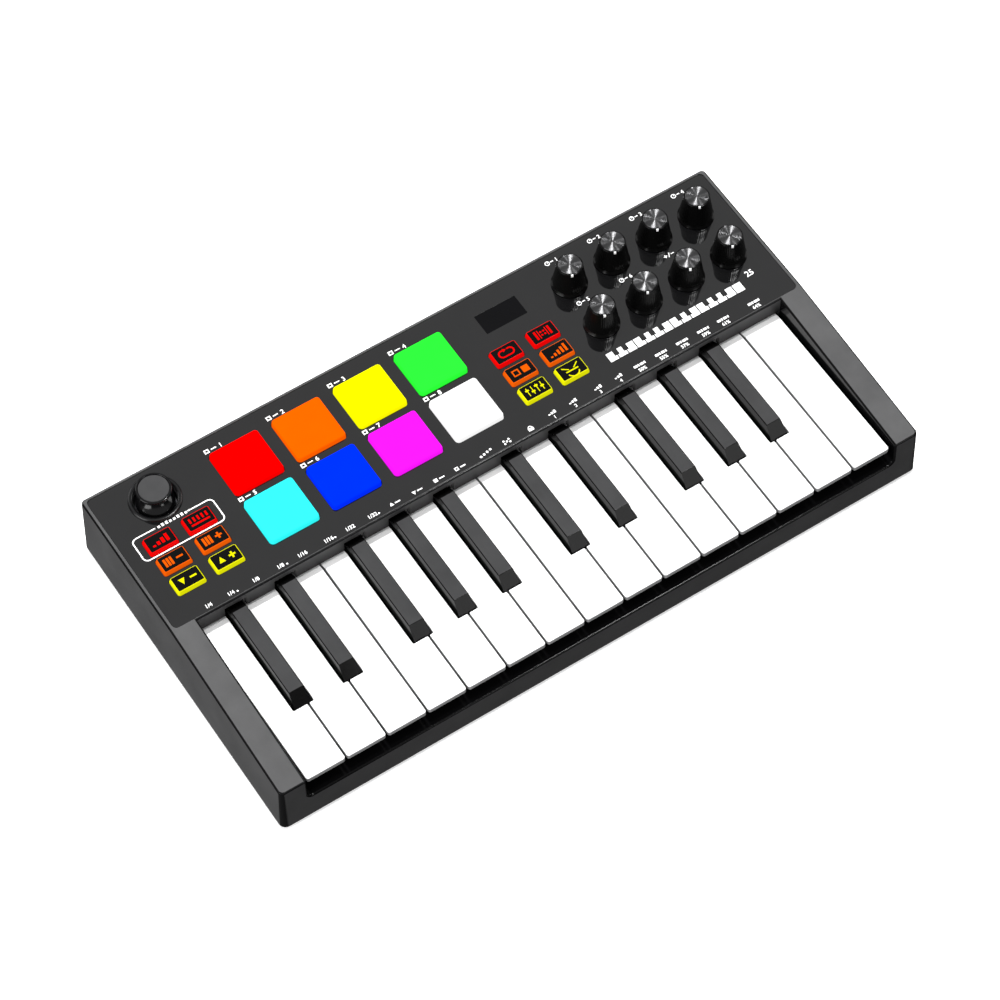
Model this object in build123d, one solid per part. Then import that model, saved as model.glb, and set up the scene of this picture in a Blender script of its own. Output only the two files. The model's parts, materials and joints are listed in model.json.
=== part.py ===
from build123d import *

# Midi keyboard controller: 25 slim keys, 8 pads, 8 knobs, 12 buttons, a display and a thumb joystick.
# Millimetres. The origin is on the table under the middle of the body, +X towards the high keys,
# +Y towards the rear and +Z up.

import math
import os

# Body
BODY_WIDTH = 326.0
BODY_DEPTH = 166.8
FOOT_HEIGHT = 2.2
RIM_Z = 36.8
PANEL_Z = 36.5
DRAFT_DEG = 2.0
CORNER_R = 3.3
EDGE_R = 1.0
WALL = 2.4
RIDGE_Y = 7.0
RAIL_SLOPE_DEG = 4.53

# Key well
WELL_HALF_WIDTH = 149.6
WELL_FLOOR_Z = 16.2
WELL_CORNER_R = 3.0
BRIDGE_FRONT_Y = 4.5
BRIDGE_WALL_BOTTOM_Z = 27.3
BRIDGE_WALL = 2.2
SHELF_BACK_Y = -66.0
SKIN_UNDERSIDE_Z = 33.1

# Control panel
PANEL_WIDTH = 319.6
PANEL_FRONT_Y = 5.65
PANEL_BACK_Y = 80.65
PANEL_THICKNESS = 1.0
PANEL_CORNER_R = 2.4

# Keys
WHITE_COUNT = 15
WHITE_PITCH = 19.82
WHITE_GAP = 1.0
WHITE_FRONT_Y = -80.4
WHITE_TOP_Z = 26.7
WHITE_LIP = 2.5
KEY_WALL = 1.4
KEY_SKIRT_Z = 21.0
KEY_SKIRT_FRONT_Y = -70.0
BLACK_TOP_Z = 32.2
BLACK_FRONT_Y = -49.4
BLACK_TOP_FRONT_Y = -44.3
BLACK_TOP_BACK_Y = 1.7
BLACK_BASE_WIDTH = 8.3
BLACK_TOP_WIDTH = 7.2
BLACK_SLOT_WIDTH = 10.05
BLACK_SLOT_FRONT_Y = -49.9
# The black keys' offsets from the white keys' boundaries, by the boundary's place in the octave
BLACK_OFFSETS = {1: -2.2, 2: 2.4, 4: -2.6, 5: 0.0, 6: 2.6}
PIVOT_Y = 12.5
PIVOT_Z = 22.0
PIVOT_R = 1.5
PIVOT_CLEARANCE = 0.06
KEY_TAIL_TOP_Z = 24.6
TAIL_INSET = 0.6
RIB_HALF = 0.3

# Controls on the panel
PAD_SIZE = (24.6, 24.3)
PAD_TOP_SIZE = (23.9, 23.6)
PAD_RISE = 2.3
PAD_PITCH = (31.22, 28.87)
PAD_FIRST = (-92.1, 59.7)
DISPLAY_SIZE = (21.2, 10.9)
DISPLAY_CENTRE = (41.7, 65.1)
BUTTON_SIZE = (13.8, 8.9)
BUTTON_TOP_SIZE = (12.9, 8.0)
BUTTON_RISE = 2.0
BUTTON_TRAVEL = 0.8
BUTTON_COLUMNS = (-143.15, -124.05, 32.1, 51.15)
BUTTON_ROWS = (45.8, 34.4, 23.0)
KNOB_FIRST = (76.4, 62.7)
KNOB_PITCH = (22.65, 25.6)
KNOB_HEIGHT = 14.6
KNOB_FLANGE_R = 8.3
KNOB_BASE_R = 7.6
KNOB_TOP_R = 5.9
JOYSTICK_CENTRE = (-134.1, 65.8)
JOYSTICK_HOLE_R = 9.3
BEZEL_R = 11.9
OPENING_GAP = 0.5

# The joystick's gimbal
STICK_PIVOT_Z = PANEL_Z - 4.0
YOKE_PIN_R = 1.0
TRUNNION_R = 0.8
STICK_CLEARANCE = 0.06

# Sockets in the rear wall
USB_X = 112.0
USB_Z = 13.0
JACK_X = 84.0
JACK_Z = 14.6
JACK_BORE_R = 3.2

# Inside
BOARD_THICKNESS = 1.6
CONTROL_BOARD_Z = 27.5
CONTROL_BOARD_FRONT_Y = 17.5
KEY_BOARD_Z = 8.4
BOTTOM_PLATE = 2.2
BOTTOM_RECESS = 0.6
FOOT_R = 6.0
BOSS_R = 3.2
SCREW_R = 1.4
BOSS_X = (-154.6, -66.0, 0.0, 66.0, 154.6)
POST_X = (-153.6, -111.5, 20.3, 63.5, 153.6)
POST_Y = (24.0, 66.0)
POST_R = 1.9
PILOT_R = 1.25

BACK_INNER_Y = BODY_DEPTH / 2 - WALL - 0.9
FRONT_INNER_Y = -BODY_DEPTH / 2 + WALL + 0.6
RAIL_INNER_X = WELL_HALF_WIDTH + BRIDGE_WALL
OUTER_INNER_X = BODY_WIDTH / 2 - WALL - 1.2


def box(x0, x1, y0, y1, z0, z1):
    """A box from its lowest and highest corners."""
    centre = Pos((x0 + x1) / 2, (y0 + y1) / 2, (z0 + z1) / 2)
    return centre * Box(x1 - x0, y1 - y0, z1 - z0)


def cylinder(x, y, z0, z1, radius):
    """An upright cylinder between two heights."""
    return Pos(x, y, (z0 + z1) / 2) * Cylinder(radius, z1 - z0)


def prism_x(points, x0, x1):
    """A solid with a Y-Z outline, from x0 to x1."""
    outline = make_face(Plane.YZ * Polyline(*points, close=True))
    return Pos(x0, 0, 0) * extrude(outline, amount=x1 - x0, dir=(1, 0, 0))


def tapered(x, y, z0, z1, base, top, radius):
    """A raised block with rounded corners that narrows from its base to its top."""
    lower = Pos(x, y, z0) * RectangleRounded(base[0], base[1], radius)
    upper = Pos(x, y, z1) * RectangleRounded(top[0], top[1], radius)
    return loft([lower.face(), upper.face()])


def slope_z(y):
    """The height of the rails' top at a distance y."""
    return RIM_Z - (RIDGE_Y - y) * math.tan(math.radians(RAIL_SLOPE_DEG))


def white_edge(index):
    """The boundary on the left of white key number index, counted from 0."""
    return (index - WHITE_COUNT / 2) * WHITE_PITCH


def black_places():
    """The middle of each black key, with the number of the white boundary that it straddles."""
    places = []
    for boundary in range(1, WHITE_COUNT):
        step = boundary % 7
        if step in BLACK_OFFSETS:
            places.append((boundary, white_edge(boundary) + BLACK_OFFSETS[step]))
    return places


def pad_places():
    return [
        (PAD_FIRST[0] + column * PAD_PITCH[0], PAD_FIRST[1] - row * PAD_PITCH[1])
        for row in range(2)
        for column in range(4)
    ]


def button_places():
    return [(x, y) for y in BUTTON_ROWS for x in BUTTON_COLUMNS]


def knob_places():
    return [
        (KNOB_FIRST[0] + column * KNOB_PITCH[0], KNOB_FIRST[1] - row * KNOB_PITCH[1])
        for row in range(2)
        for column in range(4)
    ]


def boss_places():
    """The case screws: a row at the back, and one at the front under the shelf and the rails."""
    back = [(x, BACK_INNER_Y - 4.0) for x in BOSS_X]
    front = [(x, -75.0) for x in BOSS_X]
    return back + front


def post_places():
    """The posts under the panel's skin that the control board is screwed to."""
    return [(x, y) for x in POST_X for y in POST_Y]


def panel_openings(gap, z0, z1):
    """Cutters for the pads, display, buttons, knob bushings and joystick."""
    cutters = []
    for x, y in pad_places():
        outline = RectangleRounded(PAD_SIZE[0] + 2 * gap, PAD_SIZE[1] + 2 * gap, 1.8 + gap)
        cutters.append(extrude(Pos(x, y, z0) * outline, amount=z1 - z0))
    for x, y in button_places():
        outline = RectangleRounded(BUTTON_SIZE[0] + 2 * gap, BUTTON_SIZE[1] + 2 * gap, 1.0 + gap)
        cutters.append(extrude(Pos(x, y, z0) * outline, amount=z1 - z0))
    x, y = DISPLAY_CENTRE
    outline = Rectangle(DISPLAY_SIZE[0] + 0.1, DISPLAY_SIZE[1] + 0.1)
    cutters.append(extrude(Pos(x, y, z0) * outline, amount=z1 - z0))
    for x, y in knob_places():
        cutters.append(cylinder(x, y, z0, z1, 4.0 + gap))
    cutters.append(cylinder(*JOYSTICK_CENTRE, z0, z1, JOYSTICK_HOLE_R + gap))
    return cutters


def top_housing():
    """The one-piece shell: sloping rails, low front lip, key well and the bridge that carries the panel."""
    footprint = Pos(0, 0, FOOT_HEIGHT) * RectangleRounded(BODY_WIDTH, BODY_DEPTH, CORNER_R)
    shell = extrude(footprint, amount=RIM_Z - FOOT_HEIGHT, taper=DRAFT_DEG)
    front = -BODY_DEPTH / 2 - 5
    above_rails = [
        (RIDGE_Y, RIM_Z),
        (front, slope_z(front)),
        (front, RIM_Z + 10),
        (RIDGE_Y, RIM_Z + 10),
    ]
    shell -= prism_x(above_rails, -BODY_WIDTH, BODY_WIDTH)

    # The well is open to the front and above, with rounded lower corners along both rails.
    well_height = RIM_Z + 20 - WELL_FLOOR_Z
    well_outline = Pos(0, WELL_FLOOR_Z + well_height / 2) * Rectangle(2 * WELL_HALF_WIDTH, well_height)
    lower_corners = well_outline.vertices().group_by(Axis.Y)[0]
    well_outline = fillet(lower_corners, WELL_CORNER_R)
    well = extrude(Plane.XZ * well_outline, amount=-front, dir=(0, -1, 0))
    shell -= Pos(0, BRIDGE_FRONT_Y, 0) * well

    top_edges = []
    for edge in shell.edges():
        centre = edge @ 0.5
        on_ridge = abs(centre.X) < 1 and abs(centre.Y - RIDGE_Y) < 1
        well_side = abs(abs(centre.X) - WELL_HALF_WIDTH) < 0.01 and abs(centre.Z - WELL_FLOOR_Z) < 8
        along_rail = edge.length > 60
        upright = abs((edge % 0.5).Z) > 0.5
        if on_ridge or (well_side and along_rail):
            continue
        at_lip = centre.Y < -BODY_DEPTH / 2 + 3 and centre.Z > WELL_FLOOR_Z - 0.1
        inside_corner = centre.Y > 0 and upright and abs(centre.X) < WELL_HALF_WIDTH + 1
        body_corner = upright and abs(centre.X) > WELL_HALF_WIDTH + 5
        on_top = centre.Z > slope_z(min(centre.Y, RIDGE_Y)) - 0.2
        if (at_lip or on_top) and not inside_corner and not body_corner:
            top_edges.append(edge)
    shell = fillet(top_edges, EDGE_R)

    # Hollow: under the panel, under both rails and under the front shelf
    inner_wall_end = BRIDGE_FRONT_Y + BRIDGE_WALL
    shell -= box(-OUTER_INNER_X, OUTER_INNER_X, inner_wall_end, BACK_INNER_Y, 0, SKIN_UNDERSIDE_Z)
    rail_cavity = [
        (FRONT_INNER_Y, 0),
        (BACK_INNER_Y, 0),
        (BACK_INNER_Y, SKIN_UNDERSIDE_Z),
        (BRIDGE_FRONT_Y, SKIN_UNDERSIDE_Z),
        (FRONT_INNER_Y, slope_z(FRONT_INNER_Y) - 3.2),
    ]
    for side in (-1, 1):
        x0, x1 = sorted((side * RAIL_INNER_X, side * OUTER_INNER_X))
        shell -= prism_x(rail_cavity, x0, x1)
    under_shelf = WELL_FLOOR_Z - WALL
    shell -= box(-WELL_HALF_WIDTH + 2, WELL_HALF_WIDTH - 2, FRONT_INNER_Y, SHELF_BACK_Y, 0, under_shelf)
    half = WELL_HALF_WIDTH
    shell -= box(-half, half, SHELF_BACK_Y, BRIDGE_FRONT_Y, 0, WELL_FLOOR_Z + WELL_CORNER_R)
    shell -= box(-half, half, BRIDGE_FRONT_Y - 1, BRIDGE_FRONT_Y + 3, 0, BRIDGE_WALL_BOTTOM_Z)
    # The rails' inner walls stop above the bottom cover, level with the bridge at the rear.
    shell -= box(-RAIL_INNER_X, RAIL_INNER_X, FRONT_INNER_Y, inner_wall_end, 0, 8.0)
    for _, x in black_places():
        half = BLACK_SLOT_WIDTH / 2 + 0.3
        shell -= box(x - half, x + half, BRIDGE_FRONT_Y - 1, BRIDGE_FRONT_Y + 3, 20, SKIN_UNDERSIDE_Z)

    # The recess that the control panel is glued into, and the holes for the controls
    panel_bed = PANEL_Z - PANEL_THICKNESS
    middle_y = (PANEL_FRONT_Y + PANEL_BACK_Y) / 2
    depth = PANEL_BACK_Y - PANEL_FRONT_Y
    recess = RectangleRounded(PANEL_WIDTH + 0.3, depth + 0.3, PANEL_CORNER_R)
    shell -= extrude(Pos(0, middle_y, panel_bed) * recess, amount=5)
    for cutter in panel_openings(OPENING_GAP, 20, RIM_Z + 1):
        shell -= cutter

    # Screw bosses, and the step that the bottom cover sits against
    for x, y in boss_places():
        top = SKIN_UNDERSIDE_Z if y > 0 else WELL_FLOOR_Z - WALL
        if abs(x) > WELL_HALF_WIDTH and y < 0:
            top = slope_z(y) - 3.2
        floor = FOOT_HEIGHT + BOTTOM_RECESS + BOTTOM_PLATE
        shell += cylinder(x, y, floor, top + 0.5, BOSS_R)
        shell -= cylinder(x, y, floor - 1, floor + 9, PILOT_R)
    for x, y in post_places():
        shell += cylinder(x, y, CONTROL_BOARD_Z, SKIN_UNDERSIDE_Z + 0.5, POST_R)
        shell -= cylinder(x, y, CONTROL_BOARD_Z - 1, SKIN_UNDERSIDE_Z + 0.4, PILOT_R)
    for cutter in socket_cutters():
        shell -= cutter
    return shell


def socket_cutters():
    """Holes in the rear wall for the USB-C port and the sustain pedal jack."""
    rear = BODY_DEPTH / 2
    usb = Plane.XZ.offset(-rear - 2) * (Pos(USB_X, USB_Z) * RectangleRounded(9.8, 4.0, 1.9))
    jack = Plane.XZ.offset(-rear - 2) * (Pos(JACK_X, JACK_Z) * Circle(4.6))
    return [extrude(outline, amount=8, dir=(0, -1, 0)) for outline in (usb, jack)]


def bottom_cover():
    """The plate that closes the shell from below, with ribs under the key board."""
    z0 = FOOT_HEIGHT + BOTTOM_RECESS
    z1 = z0 + BOTTOM_PLATE
    half_x = OUTER_INNER_X - 0.25
    y0, y1 = FRONT_INNER_Y + 0.25, BACK_INNER_Y - 0.25
    plate = box(-half_x, half_x, y0, y1, z0, z1)
    plate = fillet(plate.edges().filter_by(Axis.Z), 1.5)
    # Stand-offs that carry the key board
    for x in (-140.0, -70.0, 0.0, 70.0, 140.0):
        for y in (-50.0, -18.0):
            plate += cylinder(x, y, z1 - 0.2, KEY_BOARD_Z - BOARD_THICKNESS, 3.0)
    for x, y in boss_places():
        plate -= cylinder(x, y, z0 - 1, z1 + 1, SCREW_R + 0.2)
        plate -= cylinder(x, y, z0 - 1, z0 + 1.0, 2.9)
    for x, y in foot_places():
        plate -= cylinder(x, y, z0 - 1, z0 + 0.8, FOOT_R + 0.2)
    return plate


def foot_places():
    return [(x, y) for x in (-138.0, 138.0) for y in (-58.0, 60.0)]


def rubber_feet():
    """Four round feet, each set in a shallow pocket of the bottom cover."""
    top = FOOT_HEIGHT + BOTTOM_RECESS + 0.8
    feet = []
    for x, y in foot_places():
        foot = cylinder(x, y, 0, top, FOOT_R)
        feet.append(chamfer(foot.edges().group_by(Axis.Z)[0], 0.6))
    return feet


def screw(x, y, head_z):
    """A pan-head self-tapping screw that points up, with a cross recess."""
    solid = cylinder(x, y, head_z + 0.8, head_z + 8.0, PILOT_R)
    solid += cylinder(x, y, head_z, head_z + 0.8, 2.6)
    solid -= box(x - 1.6, x + 1.6, y - 0.25, y + 0.25, head_z - 1, head_z + 0.5)
    return solid - box(x - 0.25, x + 0.25, y - 1.6, y + 1.6, head_z - 1, head_z + 0.5)


def screws():
    """The case screws, from below into the shell's bosses, and those that hold the control board."""
    case_z = FOOT_HEIGHT + BOTTOM_RECESS + 0.2
    board_z = CONTROL_BOARD_Z - BOARD_THICKNESS - 0.8
    case = [screw(x, y, case_z) for x, y in boss_places()]
    return case + [screw(x, y, board_z) for x, y in post_places()]


def control_panel():
    """The thin satin overlay on top, with an opening for each control and the display window."""
    middle_y = (PANEL_FRONT_Y + PANEL_BACK_Y) / 2
    depth = PANEL_BACK_Y - PANEL_FRONT_Y
    z0 = PANEL_Z - PANEL_THICKNESS
    outline = Pos(0, middle_y, z0) * RectangleRounded(PANEL_WIDTH, depth, PANEL_CORNER_R)
    sheet = extrude(outline, amount=PANEL_THICKNESS)
    for cutter in panel_openings(0.25, z0 - 1, PANEL_Z + 1):
        sheet -= cutter
    # The joystick's bezel is a raised ring moulded on the panel.
    x, y = JOYSTICK_CENTRE
    ring = cylinder(x, y, PANEL_Z - 0.4, PANEL_Z + 1.2, BEZEL_R)
    ring -= cylinder(x, y, z0, PANEL_Z + 2, JOYSTICK_HOLE_R + 0.25)
    ring = fillet(ring.edges().group_by(Axis.Z)[-1], 0.8)
    return sheet + ring


def pad_mat():
    """One silicone mat: eight raised pads joined by a thin flange under the shell's skin."""
    middle_x = PAD_FIRST[0] + 1.5 * PAD_PITCH[0]
    middle_y = PAD_FIRST[1] - 0.5 * PAD_PITCH[1]
    flange_top = SKIN_UNDERSIDE_Z - 0.1
    flange = box(middle_x - 61.5, middle_x + 61.5, middle_y - 27.0, middle_y + 27.0, 31.3, flange_top)
    mat = flange
    for x, y in pad_places():
        mat += tapered(x, y, flange_top - 0.2, PANEL_Z + PAD_RISE, PAD_SIZE, PAD_TOP_SIZE, 1.8)
        # Each pad presses on its force sensor through a short post.
        mat += cylinder(x, y, CONTROL_BOARD_Z, 31.4, 8.0)
    top_z = PANEL_Z + PAD_RISE
    rims = [e for e in mat.edges() if abs((e @ 0.5).Z - top_z) < 0.01]
    return fillet(rims, 0.5)


def display_module():
    """The numeric display: a dark lens flush with the panel on a module that stands on the board."""
    x, y = DISPLAY_CENTRE
    half_x, half_y = DISPLAY_SIZE[0] / 2, DISPLAY_SIZE[1] / 2
    lens = box(x - half_x, x + half_x, y - half_y, y + half_y, SKIN_UNDERSIDE_Z - 1.0, PANEL_Z - 0.1)
    half_x += 1.2
    half_y += 1.2
    base_top = SKIN_UNDERSIDE_Z - 0.8
    return lens + box(x - half_x, x + half_x, y - half_y, y + half_y, CONTROL_BOARD_Z, base_top)


def control_board():
    """The circuit board under the panel that carries the switches, encoders and pad sensors."""
    half_x = 156.0
    z0 = CONTROL_BOARD_Z - BOARD_THICKNESS
    board = box(-half_x, half_x, CONTROL_BOARD_FRONT_Y, BACK_INNER_Y - 9.5, z0, CONTROL_BOARD_Z)
    for x, y in post_places():
        board -= cylinder(x, y, z0 - 1, CONTROL_BOARD_Z + 1, SCREW_R)
    return board


def board_parts():
    """Soldered on the control board: a tact switch per button, an encoder per knob, the joystick's base."""
    solids = []
    switch_top = SKIN_UNDERSIDE_Z - 3.0
    for x, y in button_places():
        switch = box(x - 3.0, x + 3.0, y - 3.0, y + 3.0, CONTROL_BOARD_Z, switch_top - 0.8)
        switch += cylinder(x, y, switch_top - 1.0, switch_top, 1.7)
        solids.append(switch)
    for x, y in knob_places():
        encoder = box(x - 6.0, x + 6.0, y - 6.2, y + 6.2, CONTROL_BOARD_Z, SKIN_UNDERSIDE_Z - 0.6)
        encoder += cylinder(x, y, SKIN_UNDERSIDE_Z - 0.8, PANEL_Z - 0.5, 3.4)
        encoder -= cylinder(x, y, CONTROL_BOARD_Z + 1.0, PANEL_Z + 1, 2.05)
        solids.append(encoder)
    solids.append(joystick_base())
    return solids


def joystick_base():
    """A plate on the board with two posts that hold the joystick's yoke."""
    x, y = JOYSTICK_CENTRE
    base = box(x - 10, x + 10, y - 10, y + 10, CONTROL_BOARD_Z, STICK_PIVOT_Z - 3.6)
    for side in (-1, 1):
        inner, outer = sorted((x + side * 4.9, x + side * 6.4))
        base += box(inner, outer, y - 1.8, y + 1.8, CONTROL_BOARD_Z, STICK_PIVOT_Z + 1.6)
    bore = Pos(x, y, STICK_PIVOT_Z) * Rot(0, 90, 0) * Cylinder(YOKE_PIN_R + STICK_CLEARANCE, 16)
    return base - bore


def joystick_yoke():
    """The inner frame of the joystick's gimbal, on two pins along X, bored along Y for the stick."""
    x, y = JOYSTICK_CENTRE
    frame = box(-4.4, 4.4, -4.0, 4.0, -1.3, 1.3) - box(-3.0, 3.0, -2.6, 2.6, -2, 2)
    for side in (-1, 1):
        frame += Pos(side * 5.3, 0, 0) * Rot(0, 90, 0) * Cylinder(YOKE_PIN_R, 2.0)
    frame -= Rot(90, 0, 0) * Cylinder(TRUNNION_R + STICK_CLEARANCE, 12)
    return Pos(x, y, STICK_PIVOT_Z) * frame


def joystick_stick():
    """The stick: trunnions, a domed skirt that hides the gimbal, a stem and a dished cap."""
    x, y = JOYSTICK_CENTRE
    dome = Sphere(8.8) - Sphere(7.8) - box(-10, 10, -10, 10, -10, 1.5)
    stick = dome + cylinder(0, 0, -1.2, 8.2, 1.8)
    stick += Rot(90, 0, 0) * Cylinder(TRUNNION_R, 7.4)
    cap_top = 4.0 + 8.9
    outline = [(0, 8.0), (3.4, 8.0), (2.9, 9.8), (7.3, 10.6), (8.0, 11.4), (8.0, 12.2)]
    outline += [(7.5, cap_top), (7.0, cap_top), (6.6, cap_top - 0.5), (0, cap_top - 0.6)]
    profile = make_face(Plane.XZ * Polyline(*outline, close=True))
    stick += revolve(profile, Axis.Z)
    return Pos(x, y, STICK_PIVOT_Z) * stick


def button(x, y):
    """A translucent cap with a flange under the skin and a plunger over its tact switch."""
    flange_top = SKIN_UNDERSIDE_Z - 0.1
    body = tapered(x, y, flange_top - 0.2, PANEL_Z, BUTTON_SIZE, BUTTON_SIZE, 1.0)
    cap = tapered(x, y, PANEL_Z, PANEL_Z + BUTTON_RISE, BUTTON_SIZE, BUTTON_TOP_SIZE, 1.0)
    body += fillet(cap.edges().group_by(Axis.Z)[-1], 0.3)
    half_x, half_y = BUTTON_SIZE[0] / 2 + 0.9, BUTTON_SIZE[1] / 2 + 0.9
    body += box(x - half_x, x + half_x, y - half_y, y + half_y, flange_top - 0.9, flange_top)
    plunger_z = SKIN_UNDERSIDE_Z - 3.0 + BUTTON_TRAVEL + 0.05
    return body + cylinder(x, y, plunger_z, flange_top - 0.5, 1.5)


def knob(x, y):
    """A flared knob with a thin base flange and a flat aluminium top, and its encoder's spindle."""
    z0 = PANEL_Z + 0.5
    top = PANEL_Z + KNOB_HEIGHT
    with BuildSketch(Plane.XZ) as outline:
        with BuildLine():
            Polyline((0, z0), (KNOB_FLANGE_R, z0), (KNOB_FLANGE_R, z0 + 0.9), (KNOB_BASE_R, z0 + 1.2))
            Spline(
                (KNOB_BASE_R, z0 + 1.2),
                (KNOB_BASE_R - 0.5, z0 + 4.2),
                (KNOB_TOP_R + 0.15, z0 + 9.0),
                (KNOB_TOP_R, top - 0.7),
            )
            Polyline((KNOB_TOP_R, top - 0.7), (KNOB_TOP_R - 0.5, top), (0, top), (0, z0))
        make_face()
    body = Pos(x, y, 0) * revolve(outline.sketch, Axis.Z)
    body -= cylinder(x, y, z0 - 1, PANEL_Z + 10, 2.0)
    spindle = cylinder(x, y, CONTROL_BOARD_Z + 1.2, PANEL_Z + 9.8, 1.98)
    return [body, spindle]


def key_frame():
    """The chassis under the keys: a deck with a window for the contacts, a stop rail and a pivot bar."""
    half_x = 148.4
    deck_z0, deck_z1 = 12.6, 14.6
    frame = box(-half_x, half_x, -63.0, 17.0, deck_z0, deck_z1)
    # Contact domes come up through this window.
    frame -= box(-half_x + 4, half_x - 4, -44.0, -22.0, deck_z0 - 1, deck_z1 + 1)
    # The keys' stop rail, under the front of the white keys
    frame += box(-half_x, half_x, -63.0, -60.0, deck_z0, deck_z1 + 1.2)
    bar = Pos(0, PIVOT_Y, PIVOT_Z) * Rot(0, 90, 0) * Cylinder(PIVOT_R, 2 * half_x)
    frame += bar
    # The bar's ribs: one at each end and one wherever two white keys have no black key between them
    straddled = {boundary for boundary, _ in black_places()}
    for index in range(WHITE_COUNT + 1):
        if index not in straddled:
            x = max(-half_x + RIB_HALF, min(half_x - RIB_HALF, white_edge(index)))
            frame += box(x - RIB_HALF, x + RIB_HALF, 7.0, 17.0, deck_z1 - 0.1, PIVOT_Z + 0.6)
    # Feet of the chassis on the bottom cover
    for x in (-120.0, -40.0, 40.0, 120.0):
        for y in (-60.0, 3.0):
            frame += cylinder(x, y, FOOT_HEIGHT + BOTTOM_RECESS + BOTTOM_PLATE, deck_z0 + 0.1, 2.8)
    return frame


def key_board():
    """The contact board under the keys."""
    z0 = KEY_BOARD_Z - BOARD_THICKNESS
    return box(-146.0, 146.0, -56.0, -12.0, z0, KEY_BOARD_Z)


def key_contact_rubber():
    """A strip of conductive rubber domes, one per key: whites in front, blacks behind."""
    whites = [white_edge(i) + WHITE_PITCH / 2 for i in range(WHITE_COUNT)]
    blacks = [x for _, x in black_places()]
    sheet = box(-142.5, 142.5, -43.0, -23.0, KEY_BOARD_Z, KEY_BOARD_Z + 1.0)
    for xs, y in ((whites, -38.5), (blacks, -27.5)):
        for x in xs:
            dome = Pos(x, y, KEY_BOARD_Z + 0.9 + 2.2) * Cone(3.4, 2.2, 4.4)
            sheet += dome
    return sheet


def key_tail(x0, x1, front_y):
    """A key's rear block, clipped on the pivot bar from above."""
    tail = box(x0, x1, front_y, PIVOT_Y + 3.2, PIVOT_Z - 2.2, KEY_TAIL_TOP_Z)
    tail = fillet(tail.edges().filter_by(Axis.X).group_by(Axis.Y)[-1], 1.2)
    bore = Pos((x0 + x1) / 2, PIVOT_Y, PIVOT_Z) * Rot(0, 90, 0)
    tail -= bore * Cylinder(PIVOT_R + PIVOT_CLEARANCE, x1 - x0 + 2)
    # The mouth of the clip
    half = PIVOT_R * 0.72
    return tail - box(x0 - 1, x1 + 1, PIVOT_Y - half, PIVOT_Y + half, PIVOT_Z - 5, PIVOT_Z)


def white_key(index):
    """A white key: rounded top plate with a thin front lip, side skirts, a plunger and the rear clip."""
    half = BLACK_SLOT_WIDTH / 2
    x0 = white_edge(index) + WHITE_GAP / 2
    x1 = white_edge(index + 1) - WHITE_GAP / 2
    top, under = WHITE_TOP_Z, WHITE_TOP_Z - WHITE_LIP
    back = BRIDGE_FRONT_Y + 1.0
    plate = box(x0, x1, WHITE_FRONT_Y, back, under, top)
    plate = fillet(plate.edges().filter_by(Axis.Z).group_by(Axis.Y)[0], 1.2)
    slots = [
        box(x - half, x + half, BLACK_SLOT_FRONT_Y, back + 1, KEY_SKIRT_Z - 2, top + 1)
        for boundary, x in black_places()
        if boundary in (index, index + 1)
    ]
    for slot in slots:
        plate -= slot
    slot_corners = [
        e for e in plate.edges().filter_by(Axis.Z) if abs((e @ 0.5).Y - BLACK_SLOT_FRONT_Y) < 0.01
    ]
    if slot_corners:
        plate = fillet(slot_corners, 0.5)
    top_rim = [e for e in plate.edges() if (e @ 0.5).Z > top - 0.01 and (e @ 0.5).Y < back - 0.01]
    key = fillet(top_rim, 0.45)
    # The top falls away just in front of the bridge.
    low = top - 0.9
    fall = [(BRIDGE_FRONT_Y - 3.2, top), (BRIDGE_FRONT_Y, low), (back + 1, low), (back + 1, top + 1)]
    key -= prism_x(fall, x0 - 1, x1 + 1)
    # Side skirts and front skirt, set back from the lip
    skirt = box(x0, x1, KEY_SKIRT_FRONT_Y, back, KEY_SKIRT_Z, under + 0.1)
    skirt -= box(x0 + KEY_WALL, x1 - KEY_WALL, KEY_SKIRT_FRONT_Y + KEY_WALL, back + 1, KEY_SKIRT_Z - 1, under)
    for slot in slots:
        skirt -= slot
    key += skirt
    spine_x0, spine_x1 = spine_span(index, x0, x1)
    tail_x0, tail_x1 = spine_x0 + TAIL_INSET, spine_x1 - TAIL_INSET
    key += box(tail_x0, tail_x1, back - 4.0, back + 3.0, PIVOT_Z - 1.0, KEY_TAIL_TOP_Z - 0.2)
    key += key_tail(tail_x0, tail_x1, back + 2.0)
    # The stiffening rib and the plunger over the contact
    rib_x = (spine_x0 + spine_x1) / 2
    key += box(rib_x - 0.8, rib_x + 0.8, KEY_SKIRT_FRONT_Y + 0.5, back, KEY_SKIRT_Z, under + 0.1)
    key += box(rib_x - 2.0, rib_x + 2.0, -40.5, -36.5, KEY_BOARD_Z + 8.6, under + 0.1)
    return key


def spine_span(index, x0, x1):
    """The width left for a white key's stem and tail between the black keys beside it."""
    for boundary, x in black_places():
        if boundary == index:
            x0 = max(x0, x + BLACK_SLOT_WIDTH / 2)
        if boundary == index + 1:
            x1 = min(x1, x - BLACK_SLOT_WIDTH / 2)
    return x0, x1


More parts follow.
